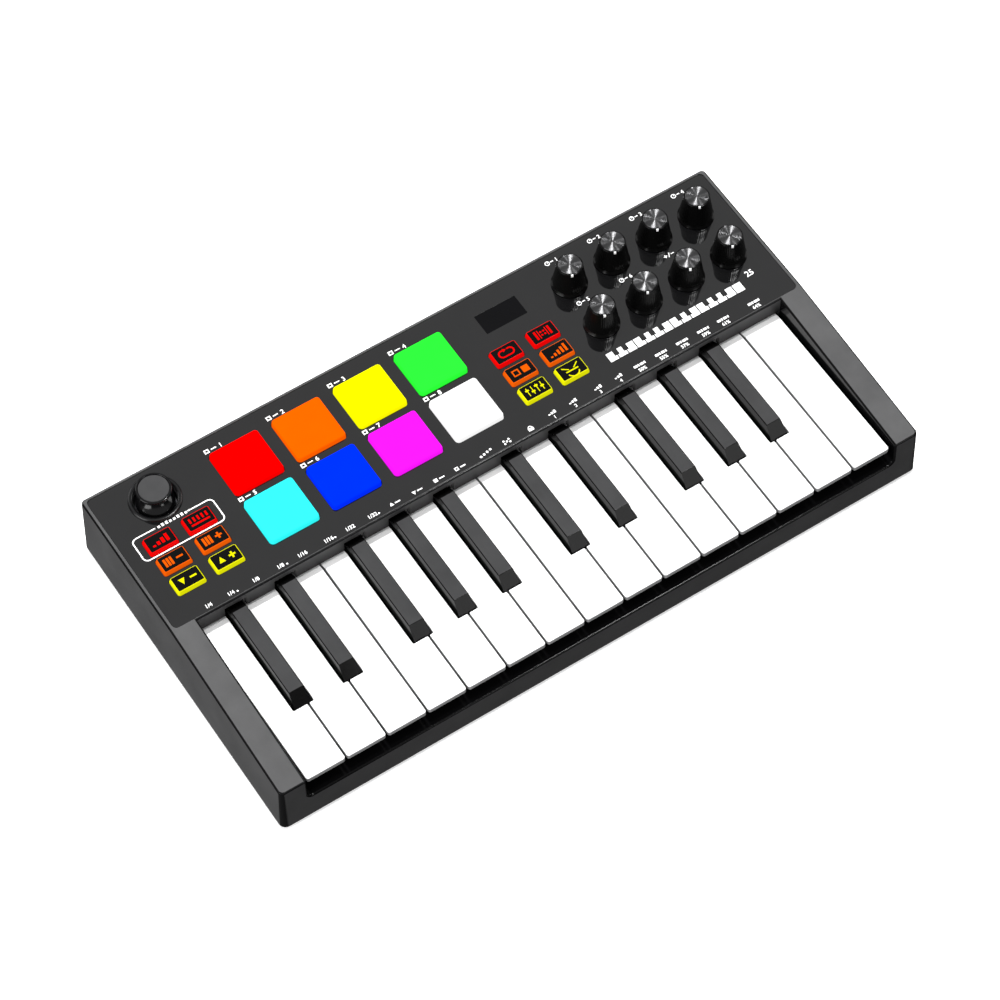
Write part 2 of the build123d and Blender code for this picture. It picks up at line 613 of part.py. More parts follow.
def black_key(x):
    """A black key: a narrow tapered cap with a sloping front, a plunger and the rear clip."""
    base_z = WHITE_TOP_Z - 4.2
    lower_half, upper_half = BLACK_BASE_WIDTH / 2, BLACK_TOP_WIDTH / 2
    shoulder_z = WHITE_TOP_Z - 0.6
    back = BRIDGE_FRONT_Y + 4.0
    cap = box(x - lower_half, x + lower_half, BLACK_FRONT_Y, back, base_z, shoulder_z)
    foot = black_section(x, shoulder_z, lower_half, BLACK_FRONT_Y, back)
    head = black_section(x, BLACK_TOP_Z, upper_half, BLACK_TOP_FRONT_Y, BLACK_TOP_BACK_Y)
    cap += loft([foot, head])
    top_rim = [e for e in cap.edges() if (e @ 0.5).Z > BLACK_TOP_Z - 0.01]
    cap = fillet(top_rim, 0.45)
    cap -= box(x - 2.9, x + 2.9, BLACK_FRONT_Y + 1.4, BRIDGE_FRONT_Y + 2.0, base_z - 1, WHITE_TOP_Z)
    cap += box(x - 0.8, x + 0.8, BLACK_FRONT_Y + 1.0, BRIDGE_FRONT_Y + 3, base_z, WHITE_TOP_Z + 0.2)
    cap += box(x - 2.0, x + 2.0, -29.5, -25.5, KEY_BOARD_Z + 8.6, WHITE_TOP_Z + 0.2)
    cap += key_tail(x - lower_half, x + lower_half, BRIDGE_FRONT_Y + 1.0)
    return cap


def black_section(x, z, half, y0, y1):
    """A level section through a black key's cap."""
    corners = [(x - half, y0), (x + half, y0), (x + half, y1), (x - half, y1)]
    return Pos(0, 0, z) * make_face(Polyline(*corners, close=True))


def rear_sockets():
    """The USB-C port and the pedal jack on a small upright carrier inside the rear wall."""
    wall = BODY_DEPTH / 2 - 1.3
    carrier_y = BACK_INNER_Y - 0.1
    usb_outline = RectangleRounded(8.94, 3.2, 1.5)
    usb = extrude(Plane.XZ.offset(-wall) * (Pos(USB_X, USB_Z) * usb_outline), amount=9, dir=(0, -1, 0))
    cavity = RectangleRounded(8.3, 2.5, 1.2)
    usb -= extrude(Plane.XZ.offset(-wall - 1) * (Pos(USB_X, USB_Z) * cavity), amount=7, dir=(0, -1, 0))
    usb += box(USB_X - 3.3, USB_X + 3.3, wall - 7.0, wall - 1.5, USB_Z - 0.35, USB_Z + 0.35)
    jack = box(JACK_X - 7, JACK_X + 7, carrier_y - 24, carrier_y, JACK_Z - 7, JACK_Z + 7)
    jack += Pos(JACK_X, wall - 2.5, JACK_Z) * Rot(90, 0, 0) * Cylinder(4.4, 5.0)
    jack -= Pos(JACK_X, wall - 10, JACK_Z) * Rot(90, 0, 0) * Cylinder(JACK_BORE_R, 24)
    carrier = box(JACK_X - 9, USB_X + 9, carrier_y - 10, carrier_y - 1, FOOT_HEIGHT + 2.8, JACK_Z - 7.0)
    usb_seat = box(USB_X - 4.2, USB_X + 4.2, wall - 9, carrier_y - 1, JACK_Z - 7.2, USB_Z - 1.5)
    return [jack, usb + usb_seat, carrier]


def parts():
    """Every node of the assembly by name."""
    nodes = {
        "top_housing": top_housing(),
        "bottom_cover": bottom_cover(),
        "rubber_feet": rubber_feet(),
        "screws": screws(),
        "control_panel": control_panel(),
        "pad_mat": pad_mat(),
        "display_module": display_module(),
        "control_board": control_board(),
        "board_parts": board_parts(),
        "joystick_yoke": joystick_yoke(),
        "joystick_stick": joystick_stick(),
        "key_frame": key_frame(),
        "key_board": key_board(),
        "key_contact_rubber": key_contact_rubber(),
        "rear_sockets": rear_sockets(),
    }
    for number, (x, y) in enumerate(button_places(), 1):
        nodes[f"button_{number:02d}"] = button(x, y)
    for number, (x, y) in enumerate(knob_places(), 1):
        nodes[f"knob_{number}"] = knob(x, y)
    for index in range(WHITE_COUNT):
        nodes[f"white_key_{index + 1:02d}"] = white_key(index)
    for number, (_, x) in enumerate(black_places(), 1):
        nodes[f"black_key_{number:02d}"] = black_key(x)
    return nodes


def main():
    os.makedirs("parts", exist_ok=True)
    for name, shape in parts().items():
        if isinstance(shape, list):
            shape = Compound(children=shape)
        export_step(shape, f"parts/{name}.step")


main()
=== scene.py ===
import json
import math

import bmesh
import bpy
from mathutils import Matrix, Vector

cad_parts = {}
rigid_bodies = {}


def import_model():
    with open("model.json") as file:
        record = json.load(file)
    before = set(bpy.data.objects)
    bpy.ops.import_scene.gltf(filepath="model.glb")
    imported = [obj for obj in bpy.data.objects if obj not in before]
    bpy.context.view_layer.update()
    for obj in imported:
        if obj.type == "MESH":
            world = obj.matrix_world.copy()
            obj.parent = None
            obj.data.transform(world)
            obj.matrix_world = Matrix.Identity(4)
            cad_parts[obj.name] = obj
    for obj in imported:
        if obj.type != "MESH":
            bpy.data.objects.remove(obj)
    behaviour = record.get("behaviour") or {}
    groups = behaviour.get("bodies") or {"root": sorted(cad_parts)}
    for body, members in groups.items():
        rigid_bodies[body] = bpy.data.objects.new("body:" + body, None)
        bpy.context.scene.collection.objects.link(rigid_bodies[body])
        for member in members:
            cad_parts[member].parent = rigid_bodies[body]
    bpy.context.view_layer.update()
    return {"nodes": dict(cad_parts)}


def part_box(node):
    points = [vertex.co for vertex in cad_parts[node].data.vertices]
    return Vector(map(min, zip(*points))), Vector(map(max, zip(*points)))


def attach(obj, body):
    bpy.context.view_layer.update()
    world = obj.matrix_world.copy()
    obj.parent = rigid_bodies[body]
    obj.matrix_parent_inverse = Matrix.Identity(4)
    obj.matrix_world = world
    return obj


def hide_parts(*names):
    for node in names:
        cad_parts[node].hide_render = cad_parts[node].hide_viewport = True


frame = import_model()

MM = 0.001
NODES = frame["nodes"]


# ---------------------------------------------------------------- materials

def nodes_of(name, colour, roughness, metallic=0.0, specular=0.5):
    """A new material with a Principled shader: (material, node tree, shader)."""
    mat = bpy.data.materials.new(name)
    mat.use_nodes = True
    tree = mat.node_tree
    shader = tree.nodes["Principled BSDF"]
    shader.inputs["Base Color"].default_value = (*colour, 1)
    shader.inputs["Roughness"].default_value = roughness
    shader.inputs["Metallic"].default_value = metallic
    shader.inputs["Specular IOR Level"].default_value = specular
    mat.diffuse_color = (*colour, 1)
    return mat, tree, shader


def coordinates(tree, stretch=(1, 1, 1)):
    """Object coordinates, optionally stretched."""
    where = tree.nodes.new("ShaderNodeTexCoord")
    mapping = tree.nodes.new("ShaderNodeMapping")
    mapping.inputs["Scale"].default_value = stretch
    tree.links.new(where.outputs["Object"], mapping.inputs["Vector"])
    return mapping.outputs["Vector"]


def noise(tree, vector, scale, detail=3.0, rough=0.55):
    node = tree.nodes.new("ShaderNodeTexNoise")
    node.inputs["Scale"].default_value = scale
    node.inputs["Detail"].default_value = detail
    node.inputs["Roughness"].default_value = rough
    tree.links.new(vector, node.inputs["Vector"])
    return node.outputs["Fac"]


def remap(tree, value, low, high, from_low=0.3, from_high=0.7):
    """value, mapped from about the noise's range to low..high."""
    node = tree.nodes.new("ShaderNodeMapRange")
    node.inputs["From Min"].default_value = from_low
    node.inputs["From Max"].default_value = from_high
    node.inputs["To Min"].default_value = low
    node.inputs["To Max"].default_value = high
    tree.links.new(value, node.inputs["Value"])
    return node.outputs["Result"]


def blend_colours(tree, factor, a, b):
    node = tree.nodes.new("ShaderNodeMix")
    node.data_type = "RGBA"
    node.inputs["A"].default_value = (*a, 1)
    node.inputs["B"].default_value = (*b, 1)
    tree.links.new(factor, node.inputs["Factor"])
    return node.outputs["Result"]


def bump(tree, shader, height, strength, distance):
    node = tree.nodes.new("ShaderNodeBump")
    node.inputs["Strength"].default_value = strength
    node.inputs["Distance"].default_value = distance
    tree.links.new(height, node.inputs["Height"])
    tree.links.new(node.outputs["Normal"], shader.inputs["Normal"])


def shade(colour, factor):
    return tuple(min(1.0, c * factor) for c in colour)


def plastic(name, colour, roughness, grain=2600, grain_depth=0.00002, strength=0.25, spread=0.08,
            tint=0.12, specular=0.5):
    """Moulded plastic: spark-eroded grain, slow changes of gloss and a slight unevenness of colour."""
    mat, tree, shader = nodes_of(name, colour, roughness, specular=specular)
    vector = coordinates(tree)
    cloud = noise(tree, vector, 55, 4.0)
    fine = noise(tree, vector, grain, 2.0, 0.6)
    tree.links.new(remap(tree, cloud, roughness - spread, roughness + spread), shader.inputs["Roughness"])
    mixed = blend_colours(tree, remap(tree, cloud, 0, 1), shade(colour, 1 - tint), shade(colour, 1 + tint))
    tree.links.new(mixed, shader.inputs["Base Color"])
    bump(tree, shader, fine, strength, grain_depth)
    return mat


def split_vector(tree, kind, output):
    """The X, Y and Z outputs of one vector output of a new node."""
    split = tree.nodes.new("ShaderNodeSeparateXYZ")
    tree.links.new(tree.nodes.new(kind).outputs[output], split.inputs["Vector"])
    return split.outputs


def object_place(tree):
    return split_vector(tree, "ShaderNodeTexCoord", "Object")


def face_normal(tree):
    return split_vector(tree, "ShaderNodeNewGeometry", "Normal")


def rounded(tree, low, high):
    """A mask: 1 on rounded edges, 0 on faces that look straight along an axis."""
    normal = face_normal(tree)
    biggest = None
    for axis in "XYZ":
        size = tree.nodes.new("ShaderNodeMath")
        size.operation = "ABSOLUTE"
        tree.links.new(normal[axis], size.inputs[0])
        if biggest is None:
            biggest = size.outputs[0]
        else:
            more = tree.nodes.new("ShaderNodeMath")
            more.operation = "MAXIMUM"
            tree.links.new(biggest, more.inputs[0])
            tree.links.new(size.outputs[0], more.inputs[1])
            biggest = more.outputs[0]
    return remap(tree, biggest, 1, 0, low, high)


def between(tree, value, low, high, soft=0.00005):
    """1 where value lies between low and high, else 0."""
    rise = remap(tree, value, 0, 1, low - soft, low + soft)
    fall = remap(tree, value, 1, 0, high - soft, high + soft)
    return times(tree, rise, fall)


def times(tree, a, b):
    node = tree.nodes.new("ShaderNodeMath")
    node.operation = "MULTIPLY"
    tree.links.new(a, node.inputs[0])
    tree.links.new(b, node.inputs[1])
    return node.outputs[0]


def mix_to(tree, factor, value, target):
    """value, going over to a fixed colour or number by factor."""
    node = tree.nodes.new("ShaderNodeMix")
    if isinstance(target, tuple):
        node.data_type = "RGBA"
        node.inputs[7].default_value = (*target, 1)
        tree.links.new(value, node.inputs[6])
        result = node.outputs[2]
    else:
        node.inputs[3].default_value = target
        tree.links.new(value, node.inputs[2])
        result = node.outputs[0]
    tree.links.new(factor, node.inputs[0])
    return result


def refinish(mat, factor, colour=None, roughness=None):
    """The material goes over to another colour or roughness by factor."""
    tree = mat.node_tree
    for socket_name, target in (("Base Color", colour), ("Roughness", roughness)):
        if target is not None:
            socket = tree.nodes["Principled BSDF"].inputs[socket_name]
            tree.links.new(mix_to(tree, factor, socket.links[0].from_socket, target), socket)


WELL_X = 0.14966                            # half the width of the well round the keys, in metres
WELL_FRONT, WELL_BACK = -0.0832, 0.0043     # where the well starts and ends along Y
BRIDGE_FACE = 0.0048                        # just behind the wall at the well's back
BRIDGE_LOW, BRIDGE_HIGH = 0.027, 0.036      # the wall's painted shade fades from black to the shell's grey between these heights


def shell_plastic(name, colour, roughness):
    """Satin shell with painted shade: its rounded edges at the sides and front are painted near black as a
    dark reflection, the well for the keys is painted black as shade under the keys and is polished, and the
    wall behind the well is painted darker towards its bottom as shade.
    """
    mat = plastic(name, colour, roughness, specular=0.06)
    tree = mat.node_tree
    look_y = face_normal(tree)["Y"]
    place = object_place(tree)
    edge = times(tree, rounded(tree, 0.95, 0.995), remap(tree, look_y, 1, 0, 0.05, 0.25))
    front_edge = times(tree, edge, remap(tree, look_y, 1, 0, -0.4, -0.15))
    across = between(tree, place["X"], -WELL_X, WELL_X)
    along = between(tree, place["Y"], WELL_FRONT, WELL_BACK)
    well = times(tree, times(tree, across, along), remap(tree, look_y, 0, 1, -0.98, -0.9))
    wall = times(tree, across, between(tree, place["Y"], WELL_BACK, BRIDGE_FACE))
    painted_wall_shade = times(tree, wall, remap(tree, place["Z"], 1, 0, BRIDGE_LOW, BRIDGE_HIGH))
    # Painted dark reflection: rounded edges at the sides go near black and rougher; edges facing the front go
    # near black and glossier, which gives them a thin real highlight.
    refinish(mat, edge, (0.0012, 0.0012, 0.0013), 0.5)
    refinish(mat, front_edge, (0.006, 0.006, 0.0063), 0.12)
    # Painted shade: the well under the keys goes black; its low roughness is real gloss.
    refinish(mat, well, (0.0025, 0.0025, 0.0027), 0.1)
    # Painted shade: the wall behind the well goes darker towards its bottom.
    refinish(mat, painted_wall_shade, (0.006, 0.006, 0.0063), 0.3)
    return mat


def soft_edged(mat, roughness):
    """The same plastic, rougher on its rounded edges."""
    refinish(mat, rounded(mat.node_tree, 0.95, 0.995), roughness=roughness)
    return mat


def white_key_plastic(name, top, side):
    """White key: a polished top, and sides and front that are rougher and painted grey as shade."""
    mat = plastic(name, top, 0.32, grain=700, grain_depth=0.000006, strength=0.12, spread=0.05, tint=0.02)
    shaded_flank = remap(mat.node_tree, face_normal(mat.node_tree)["Z"], 1, 0, 0.25, 0.85)
    # Painted shade: the sides and front take the grey side colour.
    refinish(mat, shaded_flank, side, 0.45)
    return mat


def black_key_plastic(name, top, side):
    """Black key: a matte grained top, and polished sides painted near black as shade."""
    mat = plastic(name, top, 0.5, grain=1800, grain_depth=0.00001, strength=0.2, spread=0.06, specular=0.05)
    shaded_flank = remap(mat.node_tree, face_normal(mat.node_tree)["Z"], 1, 0, 0.96, 0.99)
    # Painted shade: the sides take the near-black side colour.
    refinish(mat, shaded_flank, side, 0.12)
    return mat


def glossy(name, colour, roughness, specular=0.5):
    """Polished plastic: almost no grain, faint handling marks in the gloss."""
    return plastic(name, colour, roughness, grain=900, grain_depth=0.000004, strength=0.12,
                   spread=min(0.03, roughness * 0.5), specular=specular)


GLOW_LOW, GLOW_HIGH = 0.0352, 0.0358        # lit pieces glow above the inside of the panel only, in metres


def lit(name, colour, glow, roughness, specular):
    """Translucent plastic or silicone in one colour, lit from below, with a matte grain."""
    mat, tree, shader = nodes_of(name, colour, roughness, specular=specular)
    vector = coordinates(tree)
    cloud = noise(tree, vector, 90, 3.0)
    fine = noise(tree, vector, 1800, 2.0, 0.6)
    mixed = blend_colours(tree, remap(tree, cloud, 0, 1), shade(colour, 0.28), shade(colour, 0.32))
    tree.links.new(mixed, shader.inputs["Base Color"])
    tree.links.new(remap(tree, cloud, roughness - 0.08, roughness + 0.08), shader.inputs["Roughness"])
    shader.inputs["Emission Color"].default_value = (*colour, 1)
    height = object_place(tree)["Z"]
    tree.links.new(remap(tree, height, 0, glow, GLOW_LOW, GLOW_HIGH), shader.inputs["Emission Strength"])
    bump(tree, shader, fine, 0.2, 0.00002)
    return mat


def metal(name, colour, roughness, stretch=(1, 1, 1)):
    """Metal with fine machining lines along the unstretched axis."""
    mat, tree, shader = nodes_of(name, colour, roughness, metallic=1.0)
    vector = coordinates(tree, stretch)
    lines = noise(tree, vector, 900, 3.0, 0.65)
    cloud = noise(tree, coordinates(tree), 120, 3.0)
    tree.links.new(remap(tree, lines, roughness * 0.75, roughness * 1.25), shader.inputs["Roughness"])
    mixed = blend_colours(tree, remap(tree, cloud, 0, 1), shade(colour, 0.9), shade(colour, 1.08))
    tree.links.new(mixed, shader.inputs["Base Color"])
    bump(tree, shader, lines, 0.25, 0.000006)
    return mat


def turned_metal(name, colour, roughness, anisotropy):
    """Aluminium faced on a lathe: fine rings round the disc's own middle."""
    mat, tree, shader = nodes_of(name, colour, roughness, metallic=1.0)
    where = tree.nodes.new("ShaderNodeTexCoord")
    centred = tree.nodes.new("ShaderNodeMapping")
    centred.inputs["Location"].default_value = (-0.5, -0.5, 0)
    tree.links.new(where.outputs["Generated"], centred.inputs["Vector"])
    rings = tree.nodes.new("ShaderNodeTexWave")
    rings.wave_type = "RINGS"
    rings.rings_direction = "Z"
    rings.inputs["Scale"].default_value = 42
    rings.inputs["Distortion"].default_value = 1.5
    rings.inputs["Detail"].default_value = 2
    tree.links.new(centred.outputs["Vector"], rings.inputs["Vector"])
    tree.links.new(remap(tree, rings.outputs["Fac"], roughness * 0.8, roughness * 1.2, 0, 1),
                   shader.inputs["Roughness"])
    cloud = noise(tree, centred.outputs["Vector"], 6, 3.0)
    mixed = blend_colours(tree, remap(tree, cloud, 0, 1), shade(colour, 0.92), shade(colour, 1.06))
    tree.links.new(mixed, shader.inputs["Base Color"])
    bump(tree, shader, rings.outputs["Fac"], 0.08, 0.000004)
    shader.inputs["Anisotropic"].default_value = anisotropy
    shader.inputs["Anisotropic Rotation"].default_value = 0.25
    tangent = tree.nodes.new("ShaderNodeTangent")
    tangent.direction_type = "RADIAL"
    tangent.axis = "Z"
    tree.links.new(tangent.outputs["Tangent"], shader.inputs["Tangent"])
    return mat


PAD_COLOURS = {
    "red": (1.0, 0.0, 0.0),
    "orange": (1.0, 0.115, 0.0),
    "yellow": (1.0, 1.0, 0.0),
    "green": (0.024, 1.0, 0.038),
    "cyan": (0.032, 1.0, 1.0),
    "blue": (0.0, 0.026, 1.0),
    "magenta": (1.0, 0.009, 1.0),
    "white": (1.0, 1.0, 1.0),
}
BUTTON_COLOURS = {"red": (1.0, 0.002, 0.002), "orange": (1.0, 0.13, 0.002), "yellow": (1.0, 1.0, 0.003)}

M = {
    "shell": shell_plastic("shell_plastic", (0.075, 0.075, 0.076), 0.5),
    "panel": soft_edged(plastic("panel_plastic", (0.004, 0.004, 0.0043), 0.05, grain=500,
                                grain_depth=0.000002, strength=0.1, spread=0.02), 0.5),
    "print": plastic("print_white", (0.9, 0.9, 0.9), 0.55, grain=1500, strength=0.1, tint=0.03),
    "lens": glossy("display_lens", (0.003, 0.003, 0.0035), 0.06, specular=0.06),
    # The white keys' second colour is painted shade on their sides and front.
    "white_key": white_key_plastic("white_key_plastic", (0.87, 0.87, 0.87), (0.5, 0.5, 0.505)),
    # The black keys' second colour is painted shade on their sides.
    "black_key": black_key_plastic("black_key_plastic", (0.04, 0.04, 0.041), (0.003, 0.003, 0.003)),
    "inset": glossy("button_black", (0.003, 0.003, 0.003), 0.2, specular=0.05),
    "knob": glossy("knob_plastic", (0.003, 0.003, 0.003), 0.2, specular=0.08),
    "disc": turned_metal("knob_aluminium", (0.06, 0.06, 0.0612), 0.25, 1.0),
    "stick": glossy("stick_plastic", (0.003, 0.003, 0.0033), 0.14, specular=0.2),
    "bezel": glossy("bezel_plastic", (0.003, 0.003, 0.0033), 0.28, specular=0.3),
    "stick_disc": plastic("stick_disc", (0.045, 0.045, 0.046), 0.6, grain=2200, strength=0.3, specular=0.1),
    "gimbal": plastic("gimbal_plastic", (0.72, 0.71, 0.67), 0.5),
    "chassis": plastic("chassis_plastic", (0.02, 0.02, 0.021), 0.5),
    "cover": plastic("cover_plastic", (0.035, 0.035, 0.037), 0.55, strength=0.4),
    "rubber": plastic("foot_rubber", (0.022, 0.022, 0.022), 0.8, grain=1400, strength=0.5, specular=0.2),
    "silicone": plastic("pad_silicone", (0.03, 0.03, 0.031), 0.6, grain=1400, specular=0.3),
    "steel": metal("screw_steel", (0.16, 0.16, 0.17), 0.35),
    "nickel": metal("socket_metal", (0.62, 0.62, 0.63), 0.22, stretch=(1, 0.1, 1)),
    "socket": plastic("socket_plastic", (0.02, 0.02, 0.02), 0.45),
    "board": plastic("circuit_board", (0.004, 0.03, 0.014), 0.3, grain=300, strength=0.2),
    "parts": plastic("board_parts", (0.05, 0.05, 0.055), 0.45),
    "domes": plastic("contact_rubber", (0.5, 0.5, 0.52), 0.65),
}
for colour_name, colour in PAD_COLOURS.items():
    M["pad_" + colour_name] = lit("pad_" + colour_name, colour, 0.8, 0.6, specular=0.0)
for colour_name, colour in BUTTON_COLOURS.items():
    M["button_" + colour_name] = lit("button_" + colour_name, colour, 0.55, 0.35, specular=0.02)
    M["icon_" + colour_name] = lit("icon_" + colour_name, colour, 0.5, 0.5, specular=0.0)

WHITE_KEYS, BLACK_KEYS, BUTTONS, KNOBS = 15, 10, 12, 8


def button_colour(number):
    """The buttons count along rows of four, and each row has its colour."""
    return tuple(BUTTON_COLOURS)[(number - 1) // 4]


CAD_MATERIALS = {
    "top_housing": "shell",
    "bottom_cover": "cover",
    "rubber_feet": "rubber",
    "screws": "steel",
    "display_module": "lens",
    "control_board": "board",
    "board_parts": "parts",
    "joystick_yoke": "gimbal",
    "key_frame": "chassis",
    "key_board": "board",
    "key_contact_rubber": "domes",
}


def paint_cad(node, key):
    """Every material slot of a CAD node takes the same material."""
    materials = NODES[node].data.materials
    if len(materials) == 0:
        materials.append(M[key])
    for place in range(len(materials)):
        materials[place] = M[key]


for node, key in CAD_MATERIALS.items():
    paint_cad(node, key)
for number in range(1, WHITE_KEYS + 1):
    paint_cad(f"white_key_{number:02d}", "white_key")
for number in range(1, BLACK_KEYS + 1):
    paint_cad(f"black_key_{number:02d}", "black_key")
for number in range(1, BUTTONS + 1):
    paint_cad(f"button_{number:02d}", "button_" + button_colour(number))


# ---------------------------------------------------------------- mesh tools, in millimetres

def make_piece(name, points, faces, material, body, slot=None, replaces=(), sharp=32):
    """A new piece from points in millimetres, riding on a body."""
    mesh = bpy.data.meshes.new(name)
    mesh.from_pydata([tuple(c * MM for c in p) for p in points], [], faces)
    mesh.validate()
    work = bmesh.new()
    work.from_mesh(mesh)
    bmesh.ops.recalc_face_normals(work, faces=work.faces)
    work.to_mesh(mesh)
    work.free()
    mesh.polygons.foreach_set("use_smooth", [True] * len(mesh.polygons))
    mesh.set_sharp_from_angle(angle=math.radians(sharp))
    mesh.materials.append(M[material])
    piece = bpy.data.objects.new(name, mesh)
    bpy.context.scene.collection.objects.link(piece)
    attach(piece, body)
    if replaces:
        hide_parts(*replaces)
    return piece


def stack(loops, closed=False):
    """Faces over a pile of equal loops of points, with a cap at each end unless the pile is closed."""
    count = len(loops[0])
    points = [p for loop in loops for p in loop]
    faces = []
    pairs = len(loops) if closed else len(loops) - 1
    for level in range(pairs):
        below, above = level * count, (level + 1) % len(loops) * count
        for i in range(count):
            j = (i + 1) % count
            faces.append((below + i, below + j, above + j, above + i))
    if not closed:
        faces.append(tuple(reversed(range(count))))
        faces.append(tuple(range((len(loops) - 1) * count, len(loops) * count)))
    return points, faces


def join_parts(parts):
    """One list of points and faces from several."""
    points, faces = [], []
    for some_points, some_faces in parts:
        start = len(points)
        points += some_points
        faces += [tuple(start + i for i in face) for face in some_faces]
    return points, faces


def rounded_rect(width, depth, radius, steps=6):
    """A loop of (x, y) round a rectangle with rounded corners."""
    radius = max(radius, 0.02)
    loop = []
    for corner, (sx, sy) in enumerate(((1, 1), (-1, 1), (-1, -1), (1, -1))):
        cx, cy = sx * (width / 2 - radius), sy * (depth / 2 - radius)
        for step in range(steps + 1):
            angle = math.pi / 2 * (corner + step / steps)
            loop.append((cx + radius * math.cos(angle), cy + radius * math.sin(angle)))
    return loop


def rounding(z_top, radius, inset, steps=5):
    """The profile of an edge rounded at its top: (z, inset) from the side up to the flat."""
    return [
        (z_top - radius + radius * math.sin(math.pi / 2 * i / steps),
         inset + radius * (1 - math.cos(math.pi / 2 * i / steps)))
        for i in range(steps + 1)
    ]


def block(x, y, width, depth, radius, profile):
    """A rounded block whose outline moves in by each inset of the profile."""
    loops = []
    for z, inset in profile:
        outline = rounded_rect(width - 2 * inset, depth - 2 * inset, radius - inset)
        loops.append([(x + px, y + py, z) for px, py in outline])
    return stack(loops)


def lathe(x, y, profile, segments=64, radius_at=None):
    """A solid of revolution about an upright axis from (radius, z) pairs, closed flat at both ends."""
    loops = []
    for radius, z in profile:
        loop = []
        for i in range(segments):
            angle = 2 * math.pi * i / segments
            r = radius if radius_at is None else radius_at(radius, z, angle)
            loop.append((x + r * math.cos(angle), y + r * math.sin(angle), z))
        loops.append(loop)
    return stack(loops)


def ring_lathe(x, y, profile, segments=96):
    """A ring of revolution: the profile is a closed outline away from the axis."""
    loops = []
    for radius, z in profile:
        turns = [2 * math.pi * i / segments for i in range(segments)]
        loops.append([(x + radius * math.cos(turn), y + radius * math.sin(turn), z) for turn in turns])
    return stack(loops, closed=True)


def arc(cx, cy, radius, start, end, steps=8):
    """Points along an arc, angles in degrees."""
    return [
        (cx + radius * math.cos(math.radians(start + (end - start) * i / steps)),
         cy + radius * math.sin(math.radians(start + (end - start) * i / steps)))
        for i in range(steps + 1)
    ]


def curve_shape(curve, unit, shift):
    """The points, moved by shift in millimetres, and the faces of a curve or text, which is then removed."""
    holder = bpy.data.objects.new(curve.name, curve)
    bpy.context.scene.collection.objects.link(holder)
    bpy.context.view_layer.update()
    mesh = bpy.data.meshes.new_from_object(holder.evaluated_get(bpy.context.evaluated_depsgraph_get()))
    dx, dy, dz = shift
    points = [(v.co.x / unit + dx, v.co.y / unit + dy, v.co.z / unit + dz) for v in mesh.vertices]
    faces = [tuple(p.vertices) for p in mesh.polygons]
    bpy.data.objects.remove(holder)
    bpy.data.curves.remove(curve)
    bpy.data.meshes.remove(mesh)
    return points, faces


# ---------------------------------------------------------------- flat print and symbols

def slab(polygon, z0, z1):
    """A thin plate over a flat polygon."""
    return stack([[(x, y, z0) for x, y in polygon], [(x, y, z1) for x, y in polygon]])


def bar(x0, y0, x1, y1, width):
    """A straight stroke as a polygon."""
    length = math.hypot(x1 - x0, y1 - y0)
    ox, oy = -(y1 - y0) / length * width / 2, (x1 - x0) / length * width / 2
    return [(x0 + ox, y0 + oy), (x0 - ox, y0 - oy), (x1 - ox, y1 - oy), (x1 + ox, y1 + oy)]


def rect(x0, y0, x1, y1):
    return [(x0, y0), (x1, y0), (x1, y1), (x0, y1)]


def disc(cx, cy, radius, steps=20):
    return arc(cx, cy, radius, 0, 360 * (steps - 1) / steps, steps - 1)


def bent_bar(cx, cy, radius, width, start, end, steps=14):
    """A stroke along an arc as a polygon."""
    outer = arc(cx, cy, radius + width / 2, start, end, steps)
    inner = arc(cx, cy, radius - width / 2, start, end, steps)
    return outer + inner[::-1]


def triangle(cx, cy, size, angle):
    corners = [math.radians(angle + turn) for turn in (0, 120, 240)]
    return [(cx + size * math.cos(corner), cy + size * math.sin(corner)) for corner in corners]


def outline(width, height, line, cx=0.0, cy=0.0):
    """An open square frame as four strokes."""
    w, h = width / 2, height / 2
    return [
        rect(cx - w, cy - h, cx + w, cy - h + line),
        rect(cx - w, cy + h - line, cx + w, cy + h),
        rect(cx - w, cy - h + line, cx - w + line, cy + h - line),
        rect(cx + w - line, cy - h + line, cx + w, cy + h - line),
    ]


def digits(text, x, y, height, z0, z1):
    """Numerals and signs in the plain built-in typeface, as a flat plate: (points, faces)."""
    curve = bpy.data.curves.new("numeral", "FONT")
    curve.body = text
    curve.size = height * 1.37
    curve.align_x = "CENTER"
    curve.extrude = (z1 - z0) / 2
    curve.offset = height * 0.028
    curve.resolution_u = 3
    return curve_shape(curve, 1, (x, y, (z0 + z1) / 2))


def shifted(polygons, dx, dy):
    return [[(x + dx, y + dy) for x, y in polygon] for polygon in polygons]


def slabs(polygons, z0, z1):
    return [slab(polygon, z0, z1) for polygon in polygons]


# ---------------------------------------------------------------- where the controls are, in millimetres

def centre_of(node, decimals=2):
    """The middle of a CAD node's box at rest."""
    low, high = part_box(node)
    return tuple(round((a + b) / 2 / MM, decimals) for a, b in zip(low, high))


